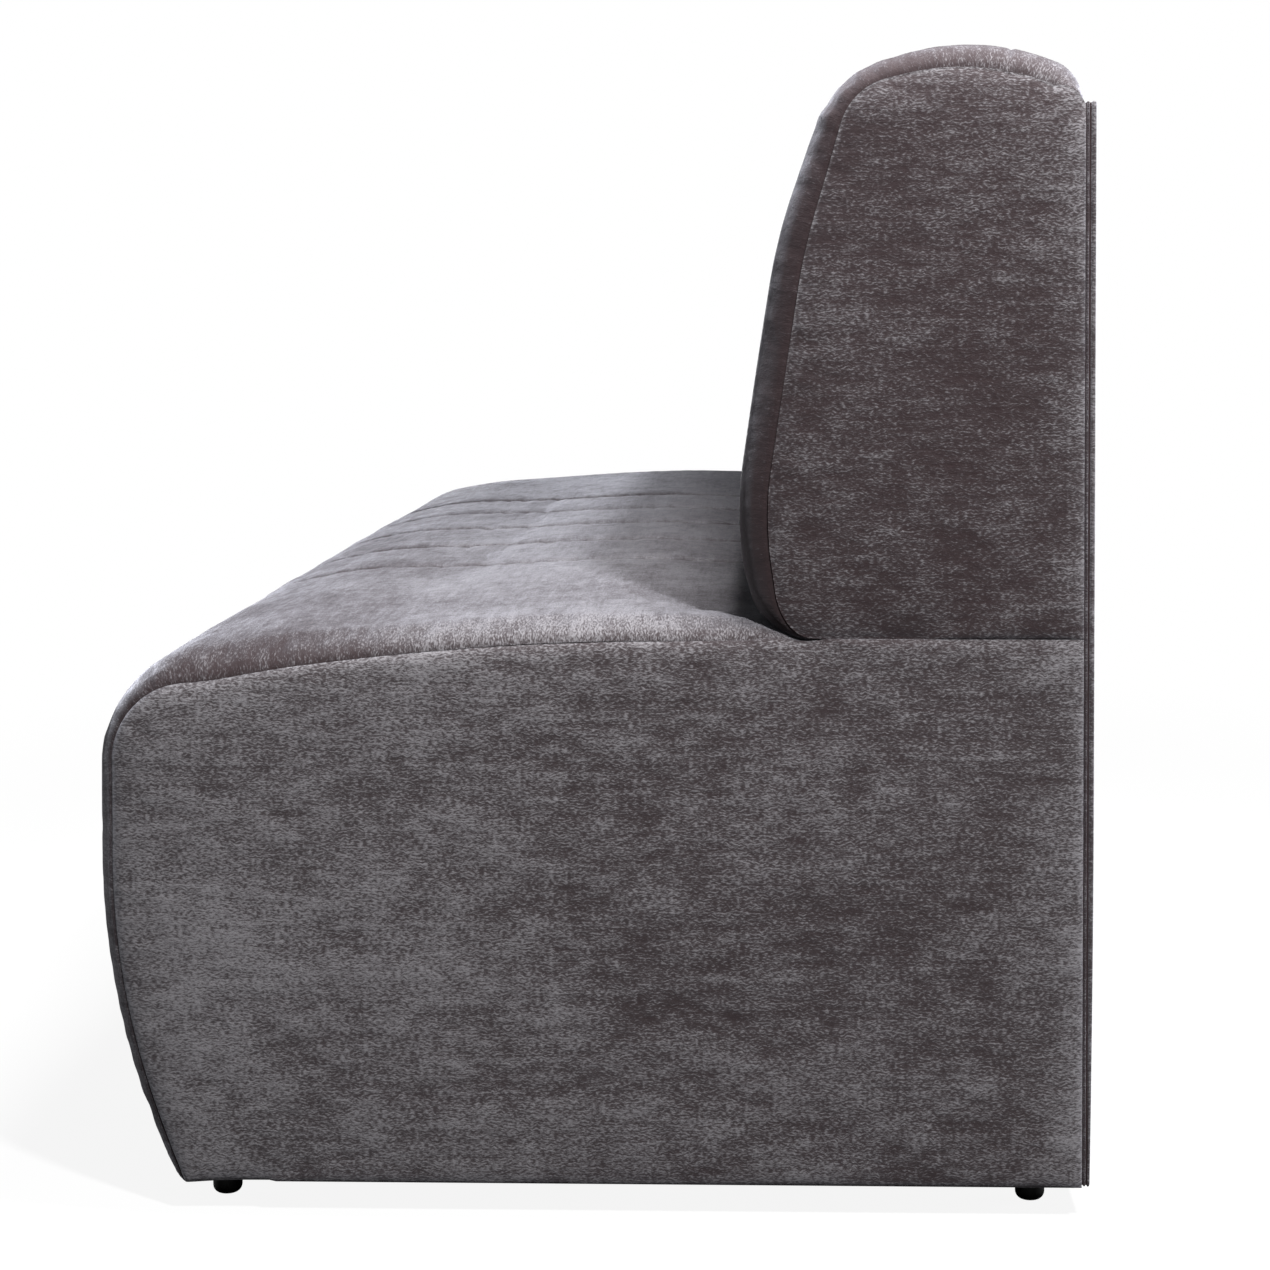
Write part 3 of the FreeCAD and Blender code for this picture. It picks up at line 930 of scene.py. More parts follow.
@dataclass
class Upholstery:
    """What all covers share: how far seams draw them in, and how their cloth swells."""

    edge_draw: float = 0.016
    edge_roll: float = 0.04
    edge_steps: int = 11
    thickness: float = 0.0035
    pucker: Pucker = field(default_factory=Pucker)
    swell_length: float = 0.16
    swell: float = 0.0011
    held_reach: float = 0.004
    crease: float = 50.0

    def stations(self, seams: Sequence[Seam], pitch: float) -> tuple[np.ndarray, np.ndarray, np.ndarray]:
        """Where a cover has its cross lines.

        Args:
            seams: Its seams from left to right, with the end seams.
            pitch: The usual distance between lines.

        Returns:
            The lines' places, how far each is drawn in, and each one's distance to the nearest seam.
        """
        places, draws = [], []
        for a, b in zip(seams, seams[1:]):
            left = np.linspace(0, np.pi / 2, a.steps + 1)
            right = np.linspace(np.pi / 2, 0, b.steps + 1)
            first, last = a.x + a.roll * (1 - np.cos(left)), b.x - b.roll * (1 - np.cos(right))
            count = max(2, int((last[0] - first[-1]) / pitch))
            middle = np.linspace(first[-1], last[0], count + 1)[1:-1]
            places.append(np.concatenate([first, middle, last[:-1]]))
            leaving, coming = a.draw * (1 - np.sin(left)), b.draw * (1 - np.sin(right))
            draws.append(np.concatenate([leaving, 0 * middle, coming[:-1]]))
        places.append(np.array([seams[-1].x]))
        draws.append(np.array([seams[-1].draw]))
        x = np.concatenate(places)
        away = np.min(np.abs(x[:, None] - np.array([s.x for s in seams])[None]), axis=1)
        return x, np.concatenate(draws), away

    @staticmethod
    def drawn(x: np.ndarray, points: np.ndarray, normals: np.ndarray, offset: np.ndarray) -> np.ndarray:
        """The surface of a cover, drawn in at its seams but never lifted off what it lies on.

        Args:
            x: The places of its cross lines.
            points: Points of its section.
            normals: The section's outward normals.
            offset: How far each point stands out, by cross line and place.

        Returns:
            Points by cross line and place.
        """
        surface = np.empty((*offset.shape, 3))
        surface[:, :, 0] = x[:, None]
        surface[:, :, 1] = points[None, :, 0] + normals[None, :, 0] * offset
        surface[:, :, 2] = points[None, :, 1] + np.maximum(normals[None, :, 1], 0) * offset
        return surface

    def cover(self, name: str, x: np.ndarray, places: np.ndarray, surface: np.ndarray) -> bpy.types.Object:
        """A cover as a grid of cloth.

        Args:
            name: The piece's name.
            x: The places of its cross lines along the bench.
            places: Lengths along its section.
            surface: Points by cross line and place.

        Returns:
            The piece, one cloth thick, with its cloth map.
        """
        across, around = len(x), len(places)
        piece = Workbench.started(name, bpy.ops.mesh.primitive_grid_add, x_subdivisions=across - 1,
                                  y_subdivisions=around - 1, size=1.0)
        Workbench.set_points(piece, surface.transpose(1, 0, 2).reshape(-1, 3))
        middle = surface[:, around // 2]
        steps = np.linalg.norm(np.diff(middle, axis=0), axis=1)
        width = np.concatenate([[0.0], np.cumsum(steps)])
        self.unroll(piece, np.stack(np.meshgrid(width, places, indexing="xy"), axis=2).reshape(-1, 2))
        return piece

    @staticmethod
    def unroll(piece: bpy.types.Object, chart: np.ndarray) -> None:
        """Writes the cloth map of a piece.

        Args:
            piece: The piece.
            chart: Each vertex's place on the flat cloth, in metres.
        """
        mesh = piece.data
        while mesh.uv_layers:
            mesh.uv_layers.remove(mesh.uv_layers[0])
        layer = mesh.uv_layers.new(name=CLOTH_MAP)
        index = np.empty(len(mesh.loops), np.int32)
        mesh.loops.foreach_get("vertex_index", index)
        layer.data.foreach_set("uv", chart[index].astype(np.float32).ravel())

    def blow(self, piece: bpy.types.Object, held: np.ndarray, pressure: float, cap: float) -> None:
        """Lets a cover swell over its filling, held at its seams.

        Args:
            piece: The cover.
            held: True for each vertex that the seams hold.
            pressure: The filling's pressure.
            cap: The furthest that a point may move.
        """
        before = Workbench.points(piece)
        Workbench.alone(piece)
        group = piece.vertex_groups.new(name="held")
        group.add(np.flatnonzero(held).tolist(), 1.0, "REPLACE")
        cloth = piece.modifiers.new("Cloth", "CLOTH")
        settings = cloth.settings
        settings.quality = 4
        settings.mass = 0.25
        settings.tension_stiffness = 20.0
        settings.compression_stiffness = 12.0
        settings.shear_stiffness = 6.0
        settings.bending_stiffness = 0.6
        settings.shrink_min = -0.006
        settings.vertex_group_mass = "held"
        settings.use_pressure = True
        settings.uniform_pressure_force = pressure
        settings.effector_weights.gravity = 0.0
        cloth.point_cache.frame_start = 1
        cloth.point_cache.frame_end = SWELL_FRAMES
        for step in range(1, SWELL_FRAMES + 1):
            bpy.context.scene.frame_set(step)
        bpy.ops.object.modifier_apply(modifier=cloth.name)
        piece.vertex_groups.clear()
        bpy.context.scene.frame_set(1)
        moved = Workbench.points(piece) - before
        Workbench.set_points(piece, before)
        out = np.maximum(0, (moved * Workbench.normals(piece)).sum(axis=1))
        self.lift(piece, cap * np.tanh(out / cap))
        LOG.info("%s swelled by up to %.1f mm", piece.name, 1000 * out.max())

    def lift(self, piece: bpy.types.Object, height: np.ndarray) -> None:
        """Moves each point of a cover along its normal.

        Args:
            piece: The cover.
            height: How far each vertex moves.
        """
        Workbench.set_points(piece, Workbench.points(piece) + Workbench.normals(piece) * height[:, None])

    @staticmethod
    def brush(piece: bpy.types.Object, nap: "float | np.ndarray") -> None:
        """Writes the lay of a cover's nap, one for all or one for each vertex."""
        lay = piece.data.attributes.new(NAP, "FLOAT", "POINT")
        lay.data.foreach_set("value", np.broadcast_to(nap, len(piece.data.vertices)).astype(np.float32))

    def close(self, piece: bpy.types.Object, fill: float, nap: "float | np.ndarray", *nodes: str) -> None:
        """Gives a cover its thickness and its finish.

        Args:
            piece: The cover.
            fill: How tightly it is filled; not used.
            nap: How much of the fabric's silver side its nap shows, from 0 to 1.
            nodes: The CAD nodes that it stands for.
        """
        self.brush(piece, nap)
        Workbench.modify(piece, "SOLIDIFY", thickness=self.thickness, offset=-1.0)
        Workbench.alone(piece)
        bpy.ops.object.shade_smooth_by_angle(angle=math.radians(self.crease))
        Workbench.dress(piece, Finish.cover_fabric, *nodes)


@dataclass
class SeatCover:
    """The cover of the seat and the front, sewn across in channels."""

    upholstery: Upholstery
    toe_setback: float = 0.054
    toe_radius: float = 0.017
    toe_sag: float = 0.0025
    toe_sag_width: float = 0.03
    toe_sag_reach: float = 0.08
    belly_height: float = 0.151
    belly_radius: float = 0.56
    seat_fall: float = 0.035
    shoulder_radius: float = 0.078
    crown_setback: float = 0.298
    crown_radius: float = 1.7
    hem_width: float = 0.072
    hem_ease: float = 0.4
    seam_pitch: float = 0.205
    seam_count: int = 5
    seam_draw: float = 0.007
    seam_roll: float = 0.017
    seam_steps: int = 6
    tuck_start: float = 0.116
    tuck_end: float = 0.168
    tuck: float = 0.0165
    tuck_held: float = 0.6
    around_pitch: float = 0.0042
    across_pitch: float = 0.013
    crown: float = 0.001
    crown_reach: float = 0.075
    shoulder_crown: float = 0.009
    shoulder_crown_from_front: float = 0.125
    shoulder_crown_width: float = 0.072
    shoulder_draw: float = 0.0035
    shoulder_draw_from_front: float = 0.075
    shoulder_draw_width: float = 0.045
    rear_relief: float = 0.003
    rear_relief_start: float = 0.24
    rear_relief_run: float = 0.3
    front_relief: float = 0.0045
    lap: float = 0.0044
    sink: float = 0.004
    sink_start: float = 0.0
    level: float = 0.5
    nap: float = 0.68
    pressed: float = 0.42
    pressed_from_front: float = 0.06
    pressed_width: float = 0.13
    stitched: float = 0.6
    end_stitched: float = 0.12
    stitch_width: float = 0.006
    pressure: float = 0.35
    swell_cap: float = 0.0022
    cross_gathers: float = 0.4
    fill: float = 0.9

    def __post_init__(self) -> None:
        """Reads the cover's place from the frame."""
        low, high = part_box("seat_cover")
        self.front, self.rear = low.y, high.y
        self.base, self.seat = low.z, high.z
        self.end = high.x
        self.outline = Outline([
            Corner(self.front + self.toe_setback + self.hem_width, self.base),
            Corner(self.front + self.toe_setback, self.base, self.toe_radius),
            Corner(self.front, self.belly_height, self.belly_radius),
            Corner(self.front, self.seat - self.seat_fall, self.shoulder_radius),
            Corner(self.front + self.crown_setback, self.seat, self.crown_radius),
            Corner(self.rear, self.seat),
        ])

    def seams(self) -> list[Seam]:
        """The end seams and the channels between them.

        Returns:
            The seams from left to right.
        """
        u = self.upholstery
        first = -(self.seam_count - 1) / 2 * self.seam_pitch
        lines = [first + i * self.seam_pitch for i in range(self.seam_count)]
        channels = [Seam(line, self.seam_draw, self.seam_roll, self.seam_steps) for line in lines]
        ends = [Seam(side * self.end, u.edge_draw, u.edge_roll, u.edge_steps) for side in (-1, 1)]
        return [ends[0], *channels, ends[1]]

    def build(self) -> None:
        """Models the cover and dresses it."""
        u = self.upholstery
        x, draw, away = u.stations(self.seams(), self.across_pitch)
        places = np.linspace(0, self.outline.length, int(self.outline.length / self.around_pitch))
        points, normals = self.outline.points(places), self.outline.normals(places)
        behind = ramp(points[:, 0], self.tuck_start, self.tuck_end - self.tuck_start)
        points[:, 1] -= self.tuck * smooth(behind) * (places > self.outline.length / 2)
        ends = np.where(self.end - np.abs(x) <= u.edge_roll, draw / u.edge_draw, 0.0)
        offset = self._offset(x, np.where(ends > 0, 0.0, draw), ends, points, normals)
        offset = offset * (1 - behind)[None] + ends[:, None] * (self.lap * behind)[None]
        surface = u.drawn(x, points, normals, offset)
        droop = hump(places, self.hem_width, self.toe_sag_width)
        near_end = hump(np.abs(x), self.end, self.toe_sag_reach)
        surface[:, :, 2] -= self.toe_sag * droop[None] * near_end[:, None]
        self.edge = surface[-1, :, 1:].copy()
        piece = u.cover("seat_cover_cloth", x, places, surface)
        grid_away = np.tile(away, len(places))
        fixed = (places < self.hem_width) | (behind > self.tuck_held)
        held = (grid_away < u.held_reach) | np.repeat(fixed, len(x))
        u.blow(piece, held, self.pressure, self.swell_cap)
        u.lift(piece, self._gathers(piece, x, places, grid_away))
        u.close(piece, self.fill, self._lay(points[:, 0] - self.front, ends, grid_away), "seat_cover")

    def _offset(self, x: np.ndarray, channels: np.ndarray, ends: np.ndarray, points: np.ndarray,
                normals: np.ndarray) -> np.ndarray:
        """How far the cover stands out from its section.

        Args:
            x: The places of its cross lines.
            channels: How far a channel's seam draws each cross line in.
            ends: The share of the end seam's draw at each cross line.
            points: Points of its section.
            normals: The section's outward normals.

        Returns:
            The offset by cross line and place.
        """
        from_front = points[:, 0] - self.front
        upper = ramp(normals[:, 1], 0.0, self.level)
        sunk = ramp(points[:, 0], self.sink_start, self.tuck_start - self.sink_start)
        sunk = smooth(sunk * (normals[:, 1] > self.level))
        full = hump(from_front, self.shoulder_crown_from_front, self.shoulder_crown_width)
        crown = self.crown + self.shoulder_crown * upper * full - self.sink * sunk
        tight = hump(from_front, self.shoulder_draw_from_front, self.shoulder_draw_width)
        deep = self.upholstery.edge_draw + self.shoulder_draw * upper * tight
        deep = deep - self.rear_relief * ramp(from_front, self.rear_relief_start, self.rear_relief_run)
        deep = deep - self.front_relief * np.clip(-normals[:, 0], 0, 1)
        swell = 1 - np.exp(-(self.end - np.abs(x)) / self.crown_reach)
        return swell[:, None] * crown[None] - ends[:, None] * deep[None] - channels[:, None]

    def _gathers(self, piece: bpy.types.Object, x: np.ndarray, places: np.ndarray,
                 away: np.ndarray) -> np.ndarray:
        """The gathers beside the seams and the unevenness of the filling.

        Args:
            piece: The cover.
            x: The places of its cross lines.
            places: Lengths along its section.
            away: Each vertex's distance to the nearest seam.

        Returns:
            How far each vertex stands out.
        """
        u = self.upholstery
        along = np.repeat(places, len(x))
        which = np.tile(np.sign(x) * np.round(np.abs(x) / self.seam_pitch), len(places))
        hem = np.clip((places / self.hem_width - 1) / self.hem_ease + 0.5, 0, 1)
        height = u.pucker.lift(along, away, seed=1.0)
        height += self.cross_gathers * u.pucker.lift(along, away, seed=3.7) * np.sin(which)
        uneven = u.swell * waves(Workbench.points(piece), u.swell_length, seed=4.2)
        return height + uneven * np.repeat(hem, len(x))

    def _lay(self, from_front: np.ndarray, ends: np.ndarray, away: np.ndarray) -> np.ndarray:
        """The nap at each vertex: less silver over the rolled front, and along the seams, where it is partly
        pressed pile and partly painted shade in the seam valleys.

        Args:
            from_front: How far behind the front each place along the section lies.
            ends: The share of the end seam's draw at each cross line.
            away: Each vertex's distance to the nearest seam.

        Returns:
            The nap.
        """
        pressed = hump(from_front, self.pressed_from_front, self.pressed_width)
        # Darker along the seams: partly pressed pile, partly painted shade in the seam valleys.
        stitched = hump(away, 0.0, self.stitch_width)
        stitched *= np.where(np.tile(ends, len(from_front)) > 0, self.end_stitched, self.stitched)
        return np.repeat(self.nap - self.pressed * pressed, len(ends)) - stitched


@dataclass
class BackCover:
    """The cover over the front and the top of the back."""

    upholstery: Upholstery
    foot_tuck: float = 0.014
    foot_radius: float = 0.048
    lumbar_out: float = 0.0027
    lumbar_rise: float = 0.078
    lumbar_radius: float = 0.25
    bend_share: float = 0.625
    bend_bulge: float = 0.0144
    bend_radius: float = 0.40
    brow_setback: float = 0.071
    brow_drop: float = 0.0215
    brow_radius: float = 0.068
    ridge_from_rear: float = 0.076
    ridge_rise: float = 0.0095
    ridge_radius: float = 0.17
    nape_drop: float = 0.02
    nape_radius: float = 0.03
    hem: float = 0.12
    hem_held: float = 0.7
    rear_drop: float = 0.045
    rear_ease: float = 0.03
    top_seam_from_rear: float = 0.051
    top_seam_draw: float = 0.0013
    top_seam_reach: float = 0.0022
    top_seam_held: float = 0.0006
    top_seam_steps: tuple[float, ...] = (0.0004, 0.001, 0.002, 0.0035, 0.006)
    top_seam_clear: float = 0.008
    around_pitch: float = 0.0042
    across_pitch: float = 0.013
    crown: float = 0.001
    crown_reach: float = 0.05
    edge_draw: float = 0.019
    edge_roll: float = 0.034
    lap: float = 0.004
    gathers: float = 1.6
    least_gathers: float = 0.6
    gather_width: float = 0.055
    brow_ease: float = 0.24
    brow_width: float = 0.07
    nap: float = 0.3
    front_pressed: float = 0.7
    pressure: float = 0.25
    swell_cap: float = 0.002
    fill: float = 0.9

    def __post_init__(self) -> None:
        """Reads the cover's place from the frame."""
        low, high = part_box("back_cover")
        seat_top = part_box("seat_cover")[1].z
        self.lumbar, self.rear = low.y - self.lumbar_out, high.y
        self.join, self.top = low.z, high.z
        self.end = high.x
        brow_z, lumbar_z = self.top - self.brow_drop, seat_top + self.lumbar_rise
        bend = self.lumbar + self.bend_share * self.brow_setback - self.bend_bulge
        self.outline = Outline([
            Corner(self.lumbar + self.foot_tuck + self.hem, self.join),
            Corner(self.lumbar + self.foot_tuck, self.join, self.foot_radius),
            Corner(self.lumbar, lumbar_z, self.lumbar_radius),
            Corner(bend, lumbar_z + self.bend_share * (brow_z - lumbar_z), self.bend_radius),
            Corner(self.lumbar + self.brow_setback, brow_z, self.brow_radius),
            Corner(self.rear - self.ridge_from_rear, self.top + self.ridge_rise, self.ridge_radius),
            Corner(self.rear, self.top - self.nape_drop, self.nape_radius),
            Corner(self.rear, self.top - self.rear_drop),
        ])

    def places(self) -> tuple[np.ndarray, np.ndarray]:
        """Lengths along the section, closer together at the lengthwise seam on the top.

        Returns:
            The lengths, and how far the seam draws each one in.
        """
        seam = self.outline.nearest(self.rear - self.top_seam_from_rear, self.top)
        even = np.linspace(0, self.outline.length, int(self.outline.length / self.around_pitch))
        steps = np.array(self.top_seam_steps)
        kept = even[np.abs(even - seam) > self.top_seam_clear]
        places = np.sort(np.concatenate([kept, seam - steps, [seam], seam + steps]))
        return places, self.top_seam_draw * np.exp(-np.abs(places - seam) / self.top_seam_reach)

    def build(self) -> None:
        """Models the cover and dresses it."""
        u = self.upholstery
        ends = [Seam(side * self.end, self.edge_draw, self.edge_roll, u.edge_steps) for side in (-1, 1)]
        x, draw, away = u.stations(ends, self.across_pitch)
        places, seam_draw = self.places()
        points, normals = self.outline.points(places), self.outline.normals(places)
        under = ramp(places, 0.0, self.hem) ** 3
        rear = np.clip((self.outline.length - places) / self.rear_ease, 0, 1)
        full = self.crown * (1 - np.exp(-away / self.crown_reach))
        brow = self.outline.nearest(self.lumbar + self.brow_setback, self.top - self.brow_drop)
        ease = 1 - self.brow_ease * hump(places, brow, self.brow_width)
        offset = full[:, None] * rear[None] - draw[:, None] * (rear * ease)[None] - seam_draw[None]
        surface = u.drawn(x, points, normals, offset)
        below = np.clip(-normals[:, 1], 0, 1)
        surface[:, :, 2] += self.lap * (draw / self.edge_draw)[:, None] * below[None]
        self.edge = surface[-1, :, 1:].copy()
        piece = u.cover("back_cover_cloth", x, places, surface)
        grid_away = np.tile(away, len(places))
        fixed = (places < self.hem * self.hem_held) | (rear < 1) | (seam_draw > self.top_seam_held)
        held = (grid_away < u.held_reach) | np.repeat(fixed, len(x))
        u.blow(piece, held, self.pressure, self.swell_cap)
        along = np.repeat(places, len(x))
        gathers = self.least_gathers + self.gathers * hump(along, brow, self.gather_width)
        height = u.pucker.lift(along, grid_away, seed=2.0) * gathers
        uneven = u.swell * waves(Workbench.points(piece), u.swell_length, seed=9.1)
        u.lift(piece, height + uneven * np.repeat(under * rear, len(x)))
        # Painted shade: lower nap, so a darker colour and less sheen, on the front face of the back.
        nap = self.nap - self.front_pressed * np.clip(-normals[:, 0], 0, 1)
        u.close(piece, self.fill, np.repeat(nap, len(x)), "back_cover")


def to_line(points: np.ndarray, line: np.ndarray) -> tuple[np.ndarray, np.ndarray]:
    """How far points lie from an open line.

    Args:
        points: The points, one row each.
        line: The line's points.

    Returns:
        Each point's distance, and the length along the line of its nearest place.
    """
    start, run = line[:-1], np.diff(line, axis=0)
    square = np.maximum((run * run).sum(axis=1), Outline.TINY ** 2)
    share = np.clip(((points[:, None] - start[None]) * run[None]).sum(axis=2) / square[None], 0, 1)
    apart = np.linalg.norm(points[:, None] - start[None] - share[:, :, None] * run[None], axis=2)
    near = apart.argmin(axis=1)
    row = np.arange(len(points))
    length = np.sqrt(square)
    before = np.concatenate([[0.0], np.cumsum(length)[:-1]])
    return apart[row, near], before[near] + share[row, near] * length[near]


@dataclass
class EndCover:
    """A flat cover at one end of the base or of the back, sewn to the rolled edge of its neighbour."""

    WELD: ClassVar[float] = 1e-6

    upholstery: Upholstery
    name: str
    node: str
    side: Side
    seam: np.ndarray
    wrap: Sequence[tuple[float, float]]
    shift: tuple[float, float]
    nap: float
    front_nap: float = 0.0
    front_nap_start: float = 0.1
    front_nap_run: float = 0.45
    seam_nap: float = 0.5
    seam_nap_width: float = 0.0017
    seam_nap_height: float = 0.58
    seam_nap_rise: float = 0.15
    rear_nap: float = 0.35
    rear_nap_reach: float = 0.014
    crown: float = 0.0068
    lip: float = 0.0034
    lip_reach: float = 0.0024
    shoulder: float = 0.0036
    shoulder_reach: float = 0.016
    wrapped: float = 0.0034
    wrap_reach: float = 0.0028
    belly: float = 0.002
    belly_reach: float = 0.09
    least: float = -0.001
    hem: float = 0.022
    hem_start: float = 0.004
    turn_in: float = 0.0002
    gathers: float = 0.7
    calm_reach: float = 0.03
    fill: float = 0.7
    pitch: float = 0.006
    rings: int = 26
    ring_power: float = 2.4

    def build(self) -> None:
        """Models the cover and dresses it."""
        u = self.upholstery
        ring, wrap = self._ring()
        flat = self._layers(ring)
        layers, count = flat.shape[:2]
        points = flat.reshape(-1, 2)
        away, along = to_line(points, self.seam)
        rim = to_line(points, wrap)[0]
        x = self._face() + self._height(away, rim)
        x += self.gathers * u.pucker.lift(along, away, seed=6.0 + self.side.value)
        calm = ramp(np.minimum(away, rim), 0.0, self.calm_reach)
        uneven = waves(np.column_stack([x, points]), u.swell_length, seed=2.0 + self.side.value)
        x += u.swell * uneven * calm
        hem, edge = self._turned_in(x[:count], ring)
        chart = points + np.array(self.shift)
        run = np.array((1.0, -1.0))
        returns = [chart[:count] + (x[:count] - inner)[:, None] * run for inner in (hem, edge)]
        piece = Workbench.started(self.name, bpy.ops.mesh.primitive_grid_add, x_subdivisions=count - 1,
                                  y_subdivisions=layers + 1, size=1.0)
        x = np.concatenate([hem, edge, x])
        Workbench.set_points(piece, np.column_stack([self.side.value * x, np.vstack([ring, ring, points])]))
        u.unroll(piece, np.vstack([*returns, chart]))
        self._weld(piece)
        u.close(piece, self.fill, self._lay(Workbench.points(piece)[:, 1:]), self.node)

    @staticmethod
    def _face() -> float:
        """How far out the end seams lie."""
        return max(abs(corner.x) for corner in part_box("seat_cover"))

    def _turned_in(self, x: np.ndarray, ring: np.ndarray) -> tuple[np.ndarray, np.ndarray]:
        """Where the border's cloth ends, turned in at the edge and under the frame along the bottom.

        Args:
            x: How far out each border point lies.
            ring: The border.

        Returns:
            How far out the hem's end and the turned edge lie.
        """
        edge = np.minimum(x - self.turn_in / 2, self._face() + self.turn_in)
        low = np.abs(ring[:, 1] - self.wrap[-1][1]) < Outline.FINE
        behind = np.clip((ring[:, 0] - self.seam[0][0]) / self.hem_start + 1, 0, 1)
        return edge - self.hem * low * behind, edge

    def _lay(self, points: np.ndarray) -> np.ndarray:
        """The nap at each point: more silver to the front, a painted highlight along the upper seam and more
        silver towards the rear edge.

        Args:
            points: Points across and up.

        Returns:
            The nap.
        """
        forward = ramp(-points[:, 0], -self.front_nap_start, self.front_nap_run)
        # Painted highlight: a thin silver line along the upper part of the seam, fading lower down.
        painted_highlight = hump(to_line(points, self.seam)[0], 0.0, self.seam_nap_width)
        high = ramp(points[:, 1], self.seam_nap_height, self.seam_nap_rise)
        # More silver in the nap towards the rear edge of the cover.
        worn = np.exp(-(self.wrap[0][0] - points[:, 0]) / self.rear_nap_reach)
        return self.nap + self.front_nap * forward + self.seam_nap * painted_highlight * high + self.rear_nap * worn

    def _height(self, away: np.ndarray, rim: np.ndarray) -> np.ndarray:
        """How far the cover stands out.

        Args:
            away: Distance from its seam.
            rim: Distance from the edges where it is wrapped round the frame.

        Returns:
            The height over the seam at each point.
        """
        sewn = self.lip * np.exp(-away / self.lip_reach)
        sewn += self.shoulder * np.exp(-away / self.shoulder_reach)
        turned = self.wrapped * np.exp(-rim / self.wrap_reach)
        full = self.crown + self.belly * (1 - np.exp(-np.minimum(away, rim) / self.belly_reach))
        return np.maximum(full - np.maximum(sewn, turned), self.least)

    def _ring(self) -> tuple[np.ndarray, np.ndarray]:
        """The closed border of the cover.

        Returns:
            Points all round, and the wrapped part alone.
        """
        corners = [self.seam[-1], *[np.array(corner) for corner in self.wrap], self.seam[0]]
        runs = []
        for a, b in zip(corners, corners[1:]):
            count = max(2, int(np.linalg.norm(b - a) / self.pitch))
            runs.append(a + (b - a) * np.linspace(0, 1, count, endpoint=False)[:, None])
        wrap = np.vstack(runs + [corners[-1][None]])
        return np.vstack([self.seam, wrap[1:]]), wrap

    def _layers(self, ring: np.ndarray) -> np.ndarray:
        """The border and lines inside it, closer together near the border.

        Args:
            ring: The border.

        Returns:
            Points by line and place along it.
        """
        middle = (ring.min(axis=0) + ring.max(axis=0)) / 2
        share = np.linspace(0, 1, self.rings) ** self.ring_power
        return np.array([middle + (ring - middle) * (1 - part) for part in share])

    @staticmethod
    def _weld(piece: bpy.types.Object) -> None:
        """Joins the two ends of the lines, closes the middle and turns the faces outwards.

        Args:
            piece: The cover.
        """
        Workbench.opened(piece)
        bpy.ops.mesh.remove_doubles(threshold=EndCover.WELD)
        Workbench.closed()
        middle = Workbench.points(piece).mean(axis=0)
        outwards = sum(face.normal.x * face.area for face in piece.data.polygons)
        if outwards * middle[0] < 0:
            Workbench.opened(piece)
            bpy.ops.mesh.flip_normals()
            Workbench.closed()


@dataclass
class EndCovers:
    """The four end covers: one for the base and one for the back at each end."""

    upholstery: Upholstery
    seat: SeatCover
    back: BackCover
    base_nap: float = 0.54
    base_front_nap: float = 0.3
    base_cut: tuple[float, float] = (5.0, 1.0)
    back_nap: float = 0.3
    back_lip: float = 0.0009
    back_shoulder: float = 0.0052
    back_least: float = 0.0014
    back_cut: tuple[float, float] = (5.4, 4.0)
    cut_step: float = 3.0

    def build(self) -> None:
        """Models all four covers."""
        rear, base, meet = self.back.rear, self.seat.base, self.back.join + self.back.lap
        for side in Side:
            step = self.cut_step * side.value
            base_shift = (self.base_cut[0] + step, self.base_cut[1])
            back_shift = (self.back_cut[0] + step, self.back_cut[1])
            word = side.word
            EndCover(self.upholstery, "end_cover_cloth_" + word, "end_cover_" + word, side, self.seat.edge,
                     [(rear, meet), (rear, base)], base_shift, self.base_nap, self.base_front_nap).build()
            EndCover(self.upholstery, "back_end_cover_cloth_" + word, "back_end_cover_" + word, side,
                     self.back.edge, [(rear, meet)], back_shift, self.back_nap, lip=self.back_lip,
                     shoulder=self.back_shoulder, least=self.back_least, hem=0.0).build()


